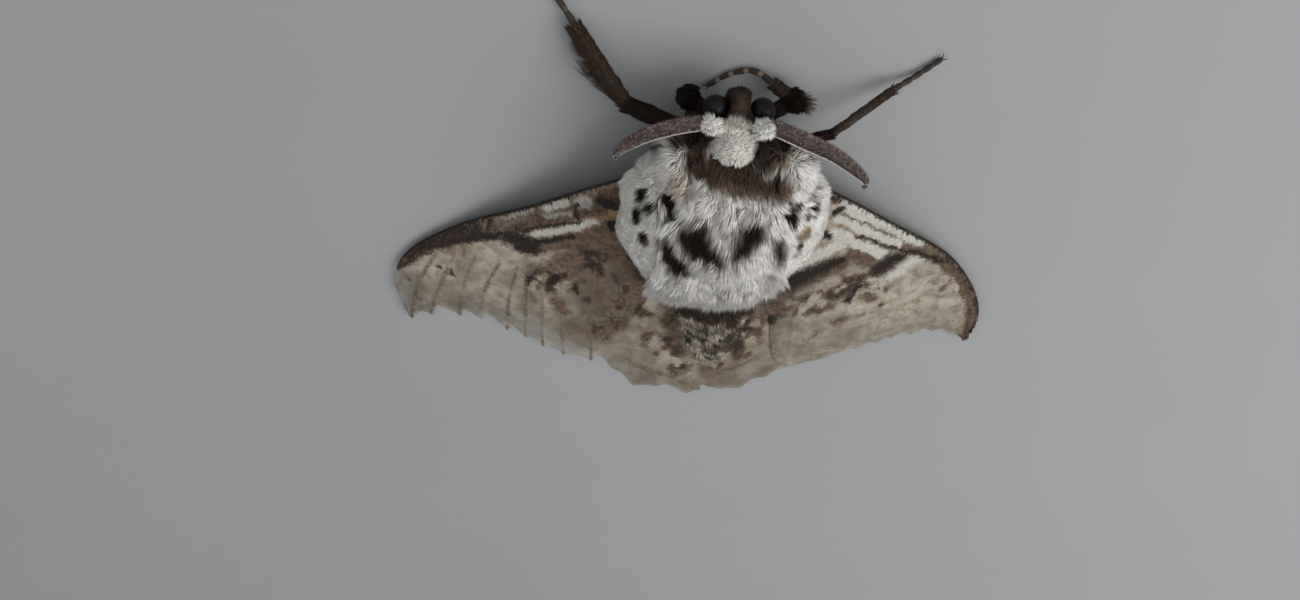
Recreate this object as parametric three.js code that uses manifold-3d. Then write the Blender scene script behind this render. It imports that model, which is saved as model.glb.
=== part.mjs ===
// A stout, furry moth at rest, life size, in millimetres.
// +Z is up and the floor is Z = 0. The head points to -Y and the moth's own left is +X.
// Each body solid reaches out to the tips of the coat, so the outline is that of the furry animal.

import * as THREE from 'three';
import { ParametricGeometry } from 'three/addons/geometries/ParametricGeometry.js';
import { mergeVertices } from 'three/addons/utils/BufferGeometryUtils.js';
import Module from 'manifold-3d';

const wasm = await Module();
wasm.setup();

// ---------------------------------------------------------------- driving dimensions

const GAP = 0.12; // clearance between pieces that touch in life
const LEFT = 1;
const RIGHT = -1;

const WING_THICKNESS = 0.5;
const WING_ROOT_RISE = 4.0; // height that a wing gains from its rim to its root
const WING_ROOT_X = 4.0; // distance from the middle line to the wing root
const WING_SLUMP = 9.0; // run over which a wing sinks from the root to the floor
const WING_RIM_INNER = 1.2; // top of the wing's margin where the hindwing lies below it
const WING_RIM_OUTER = 0.62; // top of the margin near the tip, almost on the floor
const HINDWING_DROP = WING_THICKNESS + GAP; // hindwing top below the forewing top

const EYE_RADIUS = 1.0;
const TUFT_RADIUS = 0.72; // white tuft at the foot of each antenna
const TARSUS_RADIUS = 0.3;
const SOLE_DEPTH = 0.38; // reach of a tarsus below its spine, cut flat by the floor
const KNEE_CLEARANCE = 0.95; // start of the tibia past the knee, in thigh radii
const HEEL_CLEARANCE = 0.2; // start of the tarsus past the heel

const COLLAR_REAR = -6.0; // y of the cut between collar and thorax

// A station is { at: [x, y, z], half, rise, drop }: a place on the piece's spine, the half
// width there, and how far the surface stands above and below the spine.

const HEAD = [
  { at: [-0.02, -11.75, 4.5], half: 0.45, rise: 0.5, drop: 0.45 },
  { at: [-0.02, -11.4, 4.5], half: 0.95, rise: 1.2, drop: 0.95 },
  { at: [-0.03, -10.7, 4.6], half: 1.45, rise: 2.0, drop: 1.4 },
  { at: [0.0, -9.9, 4.8], half: 1.75, rise: 2.5, drop: 1.6 },
  { at: [0.1, -9.1, 5.0], half: 1.9, rise: 3.0, drop: 1.8 },
  { at: [0.12, -8.4, 5.1], half: 1.85, rise: 3.1, drop: 1.7 },
  { at: [0.12, -7.9, 5.2], half: 1.4, rise: 2.4, drop: 1.4 },
];

const MANTLE = [
  { at: [-0.3, -8.75, 5.6], half: 3.6, rise: 1.3, drop: 1.6 },
  { at: [-0.3, -8.3, 5.4], half: 4.6, rise: 2.1, drop: 2.4 },
  { at: [-0.3, -7.2, 5.1], half: 5.4, rise: 3.1, drop: 2.7 },
  { at: [-0.3, -5.6, 4.9], half: 6.3, rise: 3.8, drop: 2.9 },
  { at: [-0.3, -3.4, 4.8], half: 7.1, rise: 4.5, drop: 3.0 },
  { at: [-0.2, -1.0, 4.6], half: 7.4, rise: 4.9, drop: 3.0 },
  { at: [0.0, 1.4, 4.4], half: 7.0, rise: 4.8, drop: 2.9 },
  { at: [0.1, 3.6, 4.2], half: 6.0, rise: 4.1, drop: 2.8 },
  { at: [0.1, 5.5, 4.1], half: 4.9, rise: 2.9, drop: 2.5 },
  { at: [0.1, 7.0, 4.1], half: 4.2, rise: 1.8, drop: 1.5 },
  { at: [0.1, 7.6, 4.2], half: 3.5, rise: 1.1, drop: 0.8 },
];

// The volume that parts the left tegula, the furry flap over the wing root, from the mantle.
const TEGULA_REGION = [
  { at: [3.9, -9.6, 6.6], half: 1.9, rise: 2.4, drop: 2.4 },
  { at: [4.9, -6.6, 6.6], half: 2.3, rise: 2.7, drop: 2.6 },
  { at: [6.2, -2.6, 6.0], half: 2.2, rise: 2.7, drop: 2.2 },
  { at: [6.8, 1.4, 5.4], half: 2.0, rise: 2.4, drop: 1.6 },
  { at: [6.4, 4.6, 5.0], half: 1.3, rise: 1.3, drop: 1.0 },
];

const ABDOMEN = [
  { at: [0.0, 3.6, 2.9], half: 3.6, rise: 2.6, drop: 2.0 },
  { at: [-0.3, 6.6, 2.6], half: 4.2, rise: 2.9, drop: 2.6 },
  { at: [-0.7, 9.4, 2.4], half: 4.2, rise: 2.8, drop: 2.8 },
  { at: [-1.0, 12.2, 2.2], half: 3.8, rise: 2.4, drop: 2.6 },
  { at: [-1.2, 14.8, 1.9], half: 3.0, rise: 1.9, drop: 2.1 },
  { at: [-1.35, 16.6, 1.7], half: 2.0, rise: 1.35, drop: 1.4 },
  { at: [-1.4, 17.5, 1.6], half: 1.1, rise: 0.8, drop: 0.8 },
];

// Antennae: a flat, comb-like blade that tapers to a thin hooked tip.
const ANTENNA = {
  [LEFT]: [
    { at: [1.7, -9.9, 6.5], half: 0.34, rise: 0.3, drop: 0.3 },
    { at: [2.9, -9.75, 6.7], half: 0.58, rise: 0.32, drop: 0.32 },
    { at: [4.4, -9.25, 6.7], half: 0.64, rise: 0.32, drop: 0.32 },
    { at: [6.0, -8.4, 6.4], half: 0.58, rise: 0.3, drop: 0.3 },
    { at: [7.1, -7.5, 6.1], half: 0.46, rise: 0.28, drop: 0.28 },
    { at: [7.85, -6.7, 5.8], half: 0.34, rise: 0.26, drop: 0.26 },
    { at: [7.8, -6.0, 5.6], half: 0.25, rise: 0.25, drop: 0.25 },
  ],
  [RIGHT]: [
    { at: [-1.6, -9.85, 6.5], half: 0.34, rise: 0.3, drop: 0.3 },
    { at: [-2.9, -9.6, 6.9], half: 0.58, rise: 0.32, drop: 0.32 },
    { at: [-4.6, -9.0, 7.0], half: 0.64, rise: 0.32, drop: 0.32 },
    { at: [-6.2, -8.15, 6.8], half: 0.58, rise: 0.3, drop: 0.3 },
    { at: [-7.7, -7.0, 6.4], half: 0.46, rise: 0.28, drop: 0.28 },
    { at: [-9.0, -5.85, 5.95], half: 0.34, rise: 0.26, drop: 0.26 },
    { at: [-9.35, -5.0, 5.7], half: 0.25, rise: 0.25, drop: 0.25 },
  ],
};

// Wing edges seen from above, [x, y], from the root to the corner that both edges share.
const FOREWING = {
  [LEFT]: {
    front: [[3.6, -5.6], [7.7, -2.6], [12.9, 1.3], [18.5, 4.9], [22.4, 8.0], [23.9, 11.3], [23.0, 15.3]],
    rear: [[3.0, 4.6], [4.6, 12.0], [7.4, 19.0], [11.2, 18.5], [15.1, 16.4], [19.1, 15.3], [22.5, 15.6]],
  },
  [RIGHT]: {
    front: [[-3.8, -5.6], [-7.9, -2.8], [-13.6, 1.4], [-18.7, 5.2], [-21.6, 8.8], [-22.8, 11.8], [-22.5, 14.4]],
    rear: [[-3.2, 4.6], [-5.6, 12.0], [-7.4, 18.7], [-10.6, 17.6], [-15.4, 15.4], [-19.6, 14.2], [-22.2, 14.7]],
  },
};

const HINDWING = {
  [LEFT]: {
    front: [[4.4, -1.0], [10.0, 6.0], [13.4, 12.0], [12.0, 16.6], [7.9, 19.0], [4.6, 21.7], [1.2, 22.9], [-0.7, 22.6]],
    rear: [[3.0, 4.6], [2.6, 10.0], [2.4, 14.6], [0.6, 17.9], [-0.7, 19.4], [-0.7, 22.2]],
  },
  [RIGHT]: {
    front: [[-4.4, -1.0], [-10.0, 6.0], [-13.0, 11.6], [-11.6, 15.8], [-8.0, 18.3], [-4.6, 20.6], [-2.6, 21.8], [-1.1, 22.2]],
    rear: [[-3.0, 4.6], [-4.8, 10.0], [-4.4, 14.6], [-2.8, 17.6], [-1.1, 19.2], [-1.1, 21.8]],
  },
};

// Each leg is [hip, knee, heel, toe points...]; the toes lie on the floor.
const LEGS = {
  foreleg: {
    [LEFT]: {
      hip: [1.2, -7.6, 2.7],
      knee: [2.95, -9.05, 2.2],
      heel: [2.5, -7.6, 0.95],
      toes: [[2.9, -5.6, 0.28], [3.4, -3.2, 0.26]],
      girth: 0.66,
    },
    [RIGHT]: {
      hip: [-1.4, -7.6, 2.7],
      knee: [-4.45, -9.1, 1.95],
      heel: [-2.75, -9.75, 1.25],
      toes: [[-1.4, -10.25, 0.55], [0.2, -9.75, 0.28], [1.7, -8.6, 0.26]],
      girth: 0.66,
    },
  },
  midleg: {
    [LEFT]: {
      hip: [3.0, -6.6, 2.7],
      knee: [7.1, -8.25, 2.45],
      heel: [10.7, -13.1, 0.85],
      toes: [[12.4, -15.0, 0.32], [14.7, -17.4, 0.26]],
      girth: 0.72,
    },
    [RIGHT]: {
      hip: [-3.2, -4.6, 2.7],
      knee: [-7.1, -5.6, 2.85],
      heel: [-10.6, -9.3, 0.85],
      toes: [[-12.3, -10.7, 0.32], [-14.0, -12.3, 0.26]],
      girth: 0.6,
    },
  },
  hindleg: {
    [LEFT]: {
      hip: [2.6, 0.6, 2.0],
      knee: [5.9, 2.4, 1.75],
      heel: [8.9, 6.2, 0.8],
      toes: [[9.8, 8.0, 0.28], [10.5, 9.6, 0.26]],
      girth: 0.5,
    },
    [RIGHT]: {
      hip: [-2.6, 0.6, 2.0],
      knee: [-5.9, 2.4, 1.75],
      heel: [-8.9, 6.2, 0.8],
      toes: [[-9.8, 8.0, 0.28], [-10.5, 9.6, 0.26]],
      girth: 0.5,
    },
  },
};

const COLOURS = {
  frons: '#4a3f3a',
  eye: '#16161c',
  white: '#d8d2c8',
  collar: '#54483f',
  feeler: '#6d5a55',
  brown: '#6b5644',
  membrane: '#a8967a',
  leg: '#41362f',
};

// ---------------------------------------------------------------- solids

const { clamp, lerp, smoothstep } = THREE.MathUtils;

/** Makes a manifold solid from a closed geometry, whatever way round its faces lie. */
function solidFrom(geometry) {
  geometry.deleteAttribute('normal');
  geometry.deleteAttribute('uv');
  const merged = mergeVertices(geometry, 1e-5);
  const index = merged.index.array;
  const triangles = [];
  for (let i = 0; i < index.length; i += 3) {
    const [a, b, c] = [index[i], index[i + 1], index[i + 2]];
    if (a !== b && b !== c && c !== a) triangles.push(a, b, c);
  }
  if (signedVolume(merged.attributes.position, triangles) < 0) triangles.reverse();
  const vertProperties = new Float32Array(merged.attributes.position.array);
  const triVerts = new Uint32Array(triangles);
  return new wasm.Manifold(new wasm.Mesh({ numProp: 3, vertProperties, triVerts }));
}

function signedVolume(position, triangles) {
  const corners = [new THREE.Vector3(), new THREE.Vector3(), new THREE.Vector3()];
  let total = 0;
  for (let i = 0; i < triangles.length; i += 3) {
    corners.forEach((corner, k) => corner.fromBufferAttribute(position, triangles[i + k]));
    total += corners[0].dot(corners[1].cross(corners[2])) / 6;
  }
  return total;
}

/**
 * A closed tube-like solid. `section(t, angle, size)` gives a point of the ring at t; the
 * first and last rows shrink to a point (size 0) and so close the ends.
 */
function closedLoft(section, steps, sides) {
  const rows = steps + 2;
  const ring = (around, along, target) => {
    const row = Math.round(along * rows);
    const size = row === 0 || row === rows ? 0 : 1;
    target.copy(section(clamp((row - 1) / steps, 0, 1), (around % 1) * 2 * Math.PI, size));
  };
  return solidFrom(new ParametricGeometry(ring, sides, rows));
}

/** Half of a rounded square when squareness > 2, of an ellipse at 2. */
function rounded(value, squareness) {
  return Math.sign(value) * Math.abs(value) ** (2 / squareness);
}

/**
 * A body piece lofted through stations. Rings stand across Y when `upright`, else across the
 * spine. `grow` swells the piece, to cut a clear gap for it into its neighbours.
 */
function body(stations, { steps, sides, upright = true, squareness = 2.1, grow = 0, floor = null }) {
  const spine = new THREE.CatmullRomCurve3(stations.map(({ at }) => new THREE.Vector3(...at)));
  const girth = new THREE.CatmullRomCurve3(
    stations.map(({ half, rise, drop }) => new THREE.Vector3(half, rise, drop)),
  );
  spine.curveType = 'catmullrom';
  girth.curveType = 'catmullrom';
  const section = (t, angle, size) => {
    const tangent = spine.getTangent(t);
    const across = upright ? new THREE.Vector3(1, 0, 0) : acrossSpine(tangent);
    const up = upright ? new THREE.Vector3(0, 0, 1) : across.clone().cross(tangent);
    const { x: half, y: rise, z: drop } = girth.getPoint(t);
    const lift = rounded(Math.sin(angle), squareness);
    const height = (lift > 0 ? rise + grow : drop + grow) * lift;
    const point = spine.getPoint(t);
    point.addScaledVector(tangent, t === 0 ? -grow : t === 1 ? grow : 0);
    point.addScaledVector(across, (half + grow) * rounded(Math.cos(angle), squareness) * size);
    point.addScaledVector(up, height * size);
    if (floor !== null) point.z = Math.max(point.z, floor);
    return point;
  };
  return closedLoft(section, steps, sides);
}

function acrossSpine(tangent) {
  return tangent.clone().cross(new THREE.Vector3(0, 0, 1)).normalize();
}

/** Keeps the largest of the bodies that a cut leaves. */
function largest(solid) {
  return solid.decompose().sort((a, b) => b.volume() - a.volume())[0];
}

function ball(centre, radius, segments) {
  const geometry = new THREE.SphereGeometry(radius, segments, Math.round(segments * 0.7));
  geometry.translate(...centre);
  return solidFrom(geometry);
}

function block(low, high) {
  const size = high.map((value, k) => value - low[k]);
  const geometry = new THREE.BoxGeometry(...size);
  geometry.translate(...high.map((value, k) => (value + low[k]) / 2));
  return solidFrom(geometry);
}

function mirrored(stations) {
  return stations.map((station) => ({ ...station, at: [-station.at[0], station.at[1], station.at[2]] }));
}

// ---------------------------------------------------------------- wings

/** Height of the forewing's upper face: it slopes from the root and flattens to the rim. */
function wingHeight(x, y) {
  const out = Math.max(Math.abs(x) - WING_ROOT_X, 0) / WING_SLUMP;
  const rim = lerp(WING_RIM_INNER, WING_RIM_OUTER, smoothstep(Math.abs(x), 12, 20));
  const fade = 1 - smoothstep(y, -4, 19);
  return rim + WING_ROOT_RISE * Math.exp(-(out ** 1.3)) * fade;
}

/** A thin wing between two edge curves, with scallops where its veins meet the margin. */
function wing({ front, rear }, { drop = 0, scallopedFront = false, scallops = 7, depth = 0.35 }) {
  const curve = (points) => new THREE.SplineCurve(points.map(([x, y]) => new THREE.Vector2(x, y)));
  const edges = [curve(front), curve(rear)];
  const edgePoint = (edge, t, isScalloped) => {
    const point = edge.getPointAt(t);
    const onMargin = isScalloped && t > 0.48 && t < 1;
    if (onMargin) point.y += depth * (Math.abs(Math.sin(Math.PI * scallops * (t - 0.48) * 2)) - 0.5);
    return point;
  };
  const section = (t, angle, size) => {
    const chord = 0.5 - 0.5 * size * Math.cos(angle);
    const plan = edgePoint(edges[0], t, scallopedFront).lerp(
      edgePoint(edges[1], t, !scallopedFront),
      chord,
    );
    const thickness = 0.5 * WING_THICKNESS * (size * rounded(Math.sin(angle), 5) - 1);
    return new THREE.Vector3(plan.x, plan.y, wingHeight(plan.x, plan.y) - drop + thickness);
  };
  return closedLoft(section, 26, 12);
}

// ---------------------------------------------------------------- legs

/** The three segments of a leg as stations, with the joint gaps left open. */
function legSegments({ hip, knee, heel, toes, girth }) {
  const shortened = (from, to) => {
    const [a, b] = [new THREE.Vector3(...from), new THREE.Vector3(...to)];
    const along = b.clone().sub(a).normalize();
    return [a.addScaledVector(along, GAP), b.addScaledVector(along, -GAP)];
  };
  const segment = (from, to, sizes) => {
    const [start, end] = shortened(from, to);
    return sizes.map((size, k) => ({
      at: start.clone().lerp(end, k / (sizes.length - 1)).toArray(),
      half: size,
      rise: size,
      drop: size,
    }));
  };
  const shin = new THREE.Vector3(...heel).sub(new THREE.Vector3(...knee)).normalize();
  const clearKnee = new THREE.Vector3(...knee).addScaledVector(shin, girth * KNEE_CLEARANCE).toArray();
  const sole = new THREE.Vector3(...toes[0]).sub(new THREE.Vector3(...heel)).normalize();
  const clearHeel = new THREE.Vector3(...heel).addScaledVector(sole, HEEL_CLEARANCE).toArray();
  const tarsusPoints = [clearHeel, ...toes];
  return {
    femur: segment(hip, knee, [girth, girth * 1.05, girth * 0.95, girth * 0.6]),
    tibia: segment(clearKnee, heel, [girth * 0.55, girth * 0.9, girth * 0.8, girth * 0.45]),
    tarsus: tarsusPoints.map((at) => ({
      at,
      half: TARSUS_RADIUS,
      rise: TARSUS_RADIUS,
      drop: SOLE_DEPTH,
    })),
  };
}

// ---------------------------------------------------------------- the moth

const moth = new THREE.Group();

/** Adds a solid to the model as a named mesh with its own material. */
function addPart(name, solid, colour, roughness = 0.9) {
  const { vertProperties, triVerts } = largest(solid).getMesh();
  const geometry = new THREE.BufferGeometry();
  geometry.setAttribute('position', new THREE.BufferAttribute(vertProperties, 3));
  geometry.setIndex(new THREE.BufferAttribute(triVerts, 1));
  const material = new THREE.MeshStandardMaterial({ color: colour, roughness, metalness: 0 });
  const mesh = new THREE.Mesh(geometry, material);
  mesh.name = name;
  moth.add(mesh);
}

const SIDES = { left: LEFT, right: RIGHT };

const headShape = { steps: 12, sides: 16 };
const mantleShape = { steps: 14, sides: 24, squareness: 2.15 };
const regionShape = { steps: 8, sides: 12, upright: false };
const abdomenShape = { steps: 12, sides: 20, floor: 0 };

/** Head with the white tufts at the feet of the antennae. */
function makeHead(grow) {
  let head = body(HEAD, { ...headShape, grow });
  for (const side of Object.values(SIDES)) {
    head = head.add(ball([side * 1.8, -10.1, 6.75], TUFT_RADIUS + grow, 8));
  }
  return head;
}

const head = makeHead(0);
const headClearance = makeHead(GAP);
const mantle = body(MANTLE, mantleShape);
const mantleClearance = body(MANTLE, { ...mantleShape, grow: GAP });
const abdomen = body(ABDOMEN, abdomenShape);
const abdomenClearance = body(ABDOMEN, { ...abdomenShape, grow: GAP, floor: -GAP });
const trunkClearance = mantleClearance.add(abdomenClearance);

// Head, eyes, palps and antennae.
let socketedHead = head;
for (const [name, side] of Object.entries(SIDES)) {
  const eyeCentre = [side * 1.72 - 0.05, -10.25, 4.85];
  socketedHead = socketedHead.subtract(ball(eyeCentre, EYE_RADIUS + GAP, 12));
  addPart(`eye_${name}`, ball(eyeCentre, EYE_RADIUS, 12), COLOURS.eye, 0.2);

  const palpStations = [
    { at: [side * 0.5, -9.7, 3.1], half: 0.32, rise: 0.32, drop: 0.32 },
    { at: [side * 0.55, -10.2, 2.8], half: 0.42, rise: 0.4, drop: 0.4 },
    { at: [side * 0.5, -10.8, 2.75], half: 0.27, rise: 0.27, drop: 0.27 },
  ];
  const palp = body(palpStations, { steps: 5, sides: 8, upright: false });
  addPart(`palp_${name}`, palp.subtract(headClearance), COLOURS.frons);

  const antenna = body(ANTENNA[side], { steps: 16, sides: 8, upright: false });
  addPart(`antenna_${name}`, antenna.subtract(headClearance), COLOURS.feeler, 0.7);
}
addPart('head', socketedHead, COLOURS.frons);

// Collar, thorax and tegulae are one furry mantle, parted with thin cuts.
let core = mantle.subtract(headClearance);
for (const [name, side] of Object.entries(SIDES)) {
  const stations = side === LEFT ? TEGULA_REGION : mirrored(TEGULA_REGION);
  const flap = mantle.subtract(headClearance).intersect(body(stations, regionShape));
  core = core.subtract(body(stations, { ...regionShape, grow: GAP }));
  addPart(`tegula_${name}`, flap, COLOURS.white);
}
const frontBlock = (rear) => block([-20, -20, -5], [20, rear, 20]);
addPart('collar', core.intersect(frontBlock(COLLAR_REAR)), COLOURS.collar);
addPart('thorax', core.subtract(frontBlock(COLLAR_REAR + GAP)), COLOURS.white);
addPart('abdomen', abdomen.subtract(mantleClearance), COLOURS.brown);

// Wings, cut clear of the trunk.
for (const [name, side] of Object.entries(SIDES)) {
  const forewing = wing(FOREWING[side], {});
  const hindwing = wing(HINDWING[side], { drop: HINDWING_DROP, scallopedFront: true });
  addPart(`forewing_${name}`, forewing.subtract(trunkClearance), COLOURS.brown, 0.8);
  addPart(`hindwing_${name}`, hindwing.subtract(trunkClearance), COLOURS.membrane, 0.8);
}

// Legs: femur, tibia and tarsus, each cut clear of the trunk.
const tarsusSteps = { steps: 7, sides: 8, upright: false, floor: 0 };
const limbSteps = { steps: 4, sides: 8, upright: false, floor: 0 };
for (const [pair, legs] of Object.entries(LEGS)) {
  for (const [name, side] of Object.entries(SIDES)) {
    for (const [part, stations] of Object.entries(legSegments(legs[side]))) {
      const segment = body(stations, part === 'tarsus' ? tarsusSteps : limbSteps);
      addPart(`${pair}_${part}_${name}`, segment.subtract(trunkClearance), COLOURS.leg);
    }
  }
}

// The origin lies on the floor, at the middle of the moth's outline from above.
const outline = new THREE.Box3().setFromObject(moth);
const middle = outline.getCenter(new THREE.Vector3());
moth.position.set(-middle.x, -middle.y, 0);

export default moth;
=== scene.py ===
"""A stout furry moth at rest on a pale floor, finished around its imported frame.

Everything is laid out in the moth's own datum: millimetres, the head towards -Y, the moth's
own left towards +X and the floor at Z = 0. Datum turns that into the frame's metres.
"""

import logging
import math
from dataclasses import dataclass
from enum import Enum
from typing import Sequence

import bpy
import numpy as np
from mathutils import Matrix, Vector
from mathutils.kdtree import KDTree

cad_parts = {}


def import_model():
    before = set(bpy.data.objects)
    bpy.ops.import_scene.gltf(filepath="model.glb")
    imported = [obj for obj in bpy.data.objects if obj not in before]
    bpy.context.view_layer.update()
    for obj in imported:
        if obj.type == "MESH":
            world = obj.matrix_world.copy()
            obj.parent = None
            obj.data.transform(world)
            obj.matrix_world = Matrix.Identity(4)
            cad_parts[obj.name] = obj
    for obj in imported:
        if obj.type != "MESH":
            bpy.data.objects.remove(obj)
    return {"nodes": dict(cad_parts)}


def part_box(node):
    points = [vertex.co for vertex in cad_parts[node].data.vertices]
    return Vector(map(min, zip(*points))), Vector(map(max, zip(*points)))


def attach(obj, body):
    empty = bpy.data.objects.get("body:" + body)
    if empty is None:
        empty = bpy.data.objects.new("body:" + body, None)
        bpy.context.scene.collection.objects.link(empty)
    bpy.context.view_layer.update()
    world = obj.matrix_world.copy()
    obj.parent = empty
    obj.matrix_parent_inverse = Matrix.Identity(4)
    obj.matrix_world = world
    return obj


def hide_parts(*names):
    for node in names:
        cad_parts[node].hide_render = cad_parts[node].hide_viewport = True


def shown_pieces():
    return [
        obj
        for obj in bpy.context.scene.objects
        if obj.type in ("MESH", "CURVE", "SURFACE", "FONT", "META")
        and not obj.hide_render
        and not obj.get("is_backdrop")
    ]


logging.basicConfig(level=logging.INFO, format="%(message)s")
LOG = logging.getLogger("moth")

MM = 0.001
TAU = 2 * math.pi
BODY = "root"
BAKE_MAP = "OFBake"
PATCH = 0.003  # width of one tuft's patch on the bake map
MAP_RIM = 0.02  # share of the bake map left bare along its edges
ANY_HEIGHT = -99.0  # below everything, for marks that show at every height
UP = (0.0, 0.0, 1.0)
LOWEST = 0.03  # least height of a hair's points, in millimetres

Values = dict[str, np.ndarray]
Numbers = dict[str, np.ndarray | float]
Colour = tuple[float, float, float]
Point2 = tuple[float, float]
Point3 = tuple[float, float, float]


class Side(Enum):
    """The moth's own sides, with the sign of their x."""

    LEFT = 1
    RIGHT = -1

    @property
    def word(self) -> str:
        """The side's name as the nodes spell it."""
        return self.name.lower()


# ------------------------------------------------------------------ datum and numbers


class Datum:
    """Turns the moth's own millimetres into the frame's metres."""

    EYE_LEFT: Point3 = (1.67, -10.25, 4.85)  # middle of the left eye in the moth's datum

    def __init__(self) -> None:
        """Finds the datum from where the frame has the left eye."""
        low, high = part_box("eye_left")
        self.shift = np.array((low + high) / 2) - np.array(self.EYE_LEFT) * MM

    def metres(self, points: np.ndarray) -> np.ndarray:
        """Gives points of the datum in metres of the frame."""
        return np.asarray(points, float) * MM + self.shift

    def millimetres(self, points: np.ndarray) -> np.ndarray:
        """Gives points of the frame in the datum's millimetres."""
        return (np.asarray(points, float) - self.shift) / MM


def ramp(value: np.ndarray, low: float, high: float) -> np.ndarray:
    """Rises evenly from 0 at low to 1 at high."""
    return np.clip((np.asarray(value, float) - low) / (high - low), 0, 1)


def smoothstep(value: np.ndarray, low: float, high: float) -> np.ndarray:
    """Rises smoothly from 0 at low to 1 at high."""
    t = ramp(value, low, high)
    return t * t * (3 - 2 * t)


def unit(vectors: np.ndarray) -> np.ndarray:
    """Scales each vector to length 1."""
    return vectors / np.maximum(np.linalg.norm(vectors, axis=-1, keepdims=True), 1e-9)


class Grain:
    """Smooth value noise on a repeating lattice, for whole arrays of points."""

    CELLS = 24

    def __init__(self, seed: int) -> None:
        """Fills the lattice.

        Args:
            seed: Seed of the random numbers.
        """
        self.lattice = np.random.default_rng(seed).random((self.CELLS,) * 3)

    def at(self, points: np.ndarray, scale: float) -> np.ndarray:
        """Samples the noise.

        Args:
            points: Points of shape (count, 3), in millimetres.
            scale: Lattice cells to a millimetre.

        Returns:
            Values from -0.5 to 0.5, one for each point.
        """
        place = np.asarray(points, float) * scale + 1000.0
        cell = np.floor(place).astype(int)
        part = place - cell
        part = part * part * (3 - 2 * part)
        total = np.zeros(len(place))
        for corner in np.ndindex(2, 2, 2):
            weight = np.prod(np.where(corner, part, 1 - part), axis=1)
            i, j, k = ((cell + corner) % self.CELLS).T
            total += weight * self.lattice[i, j, k]
        return total - 0.5

    def vector(self, points: np.ndarray, scale: float) -> np.ndarray:
        """Gives three unlike noise values for each point, as a vector."""
        offsets = (0.0, 7.3, 13.9)
        return np.stack([self.at(np.asarray(points) + o, scale) for o in offsets], axis=1)


def spline(points: Sequence[Sequence[float]], t: np.ndarray) -> np.ndarray:
    """Follows a smooth curve through points.

    Args:
        points: The points, each of the same length.
        t: Places along the curve from 0 to 1, in even shares of the points.

    Returns:
        An array of one point for each t.
    """
    knots = np.asarray(points, float)
    padded = np.vstack([2 * knots[0] - knots[1], knots, 2 * knots[-1] - knots[-2]])
    place = np.clip(np.asarray(t, float), 0, 1) * (len(knots) - 1)
    index = np.minimum(place.astype(int), len(knots) - 2)
    s = (place - index)[:, None]
    a, b, c, d = (padded[index + k] for k in range(4))
    return 0.5 * (2 * b + (c - a) * s + (2 * a - 5 * b + 4 * c - d) * s**2 + (3 * b - a - 3 * c + d) * s**3)


def even_spline(points: Sequence[Sequence[float]], t: np.ndarray) -> np.ndarray:
    """Follows the same curve as spline, with t in even shares of its length."""
    fine = spline(points, np.linspace(0, 1, 400))
    run = np.concatenate([[0], np.cumsum(np.linalg.norm(np.diff(fine, axis=0), axis=1))])
    return np.stack([np.interp(np.asarray(t) * run[-1], run, column) for column in fine.T], axis=1)


# ------------------------------------------------------------------ meshes


@dataclass
class Faces:
    """Faces of mixed sizes as flat arrays, and the map places of their corners."""

    corners: np.ndarray
    sizes: np.ndarray
    places: np.ndarray | None = None


def ring_quads(gaps: int, sides: int) -> np.ndarray:
    """Quads between the rings of a tube, for so many gaps between rings."""
    row, k = np.meshgrid(np.arange(gaps), np.arange(sides), indexing="ij")
    near, far = row * sides + k, row * sides + (k + 1) % sides
    return np.stack([near, near + sides, far + sides, far], axis=-1).reshape(-1, 4)


def tube_faces(rows: int, sides: int) -> Faces:
    """Quads between the rings of a tube, and a fan of triangles on each end point."""
    quads = ring_quads(rows - 1, sides)
    k = np.arange(sides)
    first, end_ring = rows * sides, (rows - 1) * sides
    start = np.stack([k, (k + 1) % sides, np.full(sides, first)], axis=1)
    end = np.stack([end_ring + (k + 1) % sides, end_ring + k, np.full(sides, first + 1)], axis=1)
    corners = np.concatenate([quads.ravel(), start.ravel(), end.ravel()])
    return Faces(corners, np.repeat([4, 3], [len(quads), 2 * sides]))


def choose(*pieces: bpy.types.Object) -> None:
    """Makes pieces the only chosen ones, with the first of them active."""
    bpy.ops.object.select_all(action="DESELECT")
    for piece in pieces:
        piece.select_set(True)
    bpy.context.view_layer.objects.active = pieces[0]


def join(pieces: Sequence[bpy.types.Object], name: str) -> bpy.types.Object:
    """Joins objects into the first, under a new name."""
    choose(*pieces)
    bpy.ops.object.join()
    pieces[0].name = name
    return pieces[0]


def put_numbers(mesh: bpy.types.Mesh, values: Numbers) -> None:
    """Stores named numbers for a mesh's vertices, one for each or one for all."""
    for key, numbers in values.items():
        slot = mesh.attributes.new(key, "FLOAT", "POINT")
        slot.data.foreach_set("value", np.full(len(mesh.vertices), numbers, np.float32))


def on_map(across: np.ndarray, up: np.ndarray) -> np.ndarray:
    """Gives places on the bake map, off its rim, for shares from 0 to 1."""
    return MAP_RIM + (1 - 2 * MAP_RIM) * np.stack([across, up], axis=1)


# ------------------------------------------------------------------ strands


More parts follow.
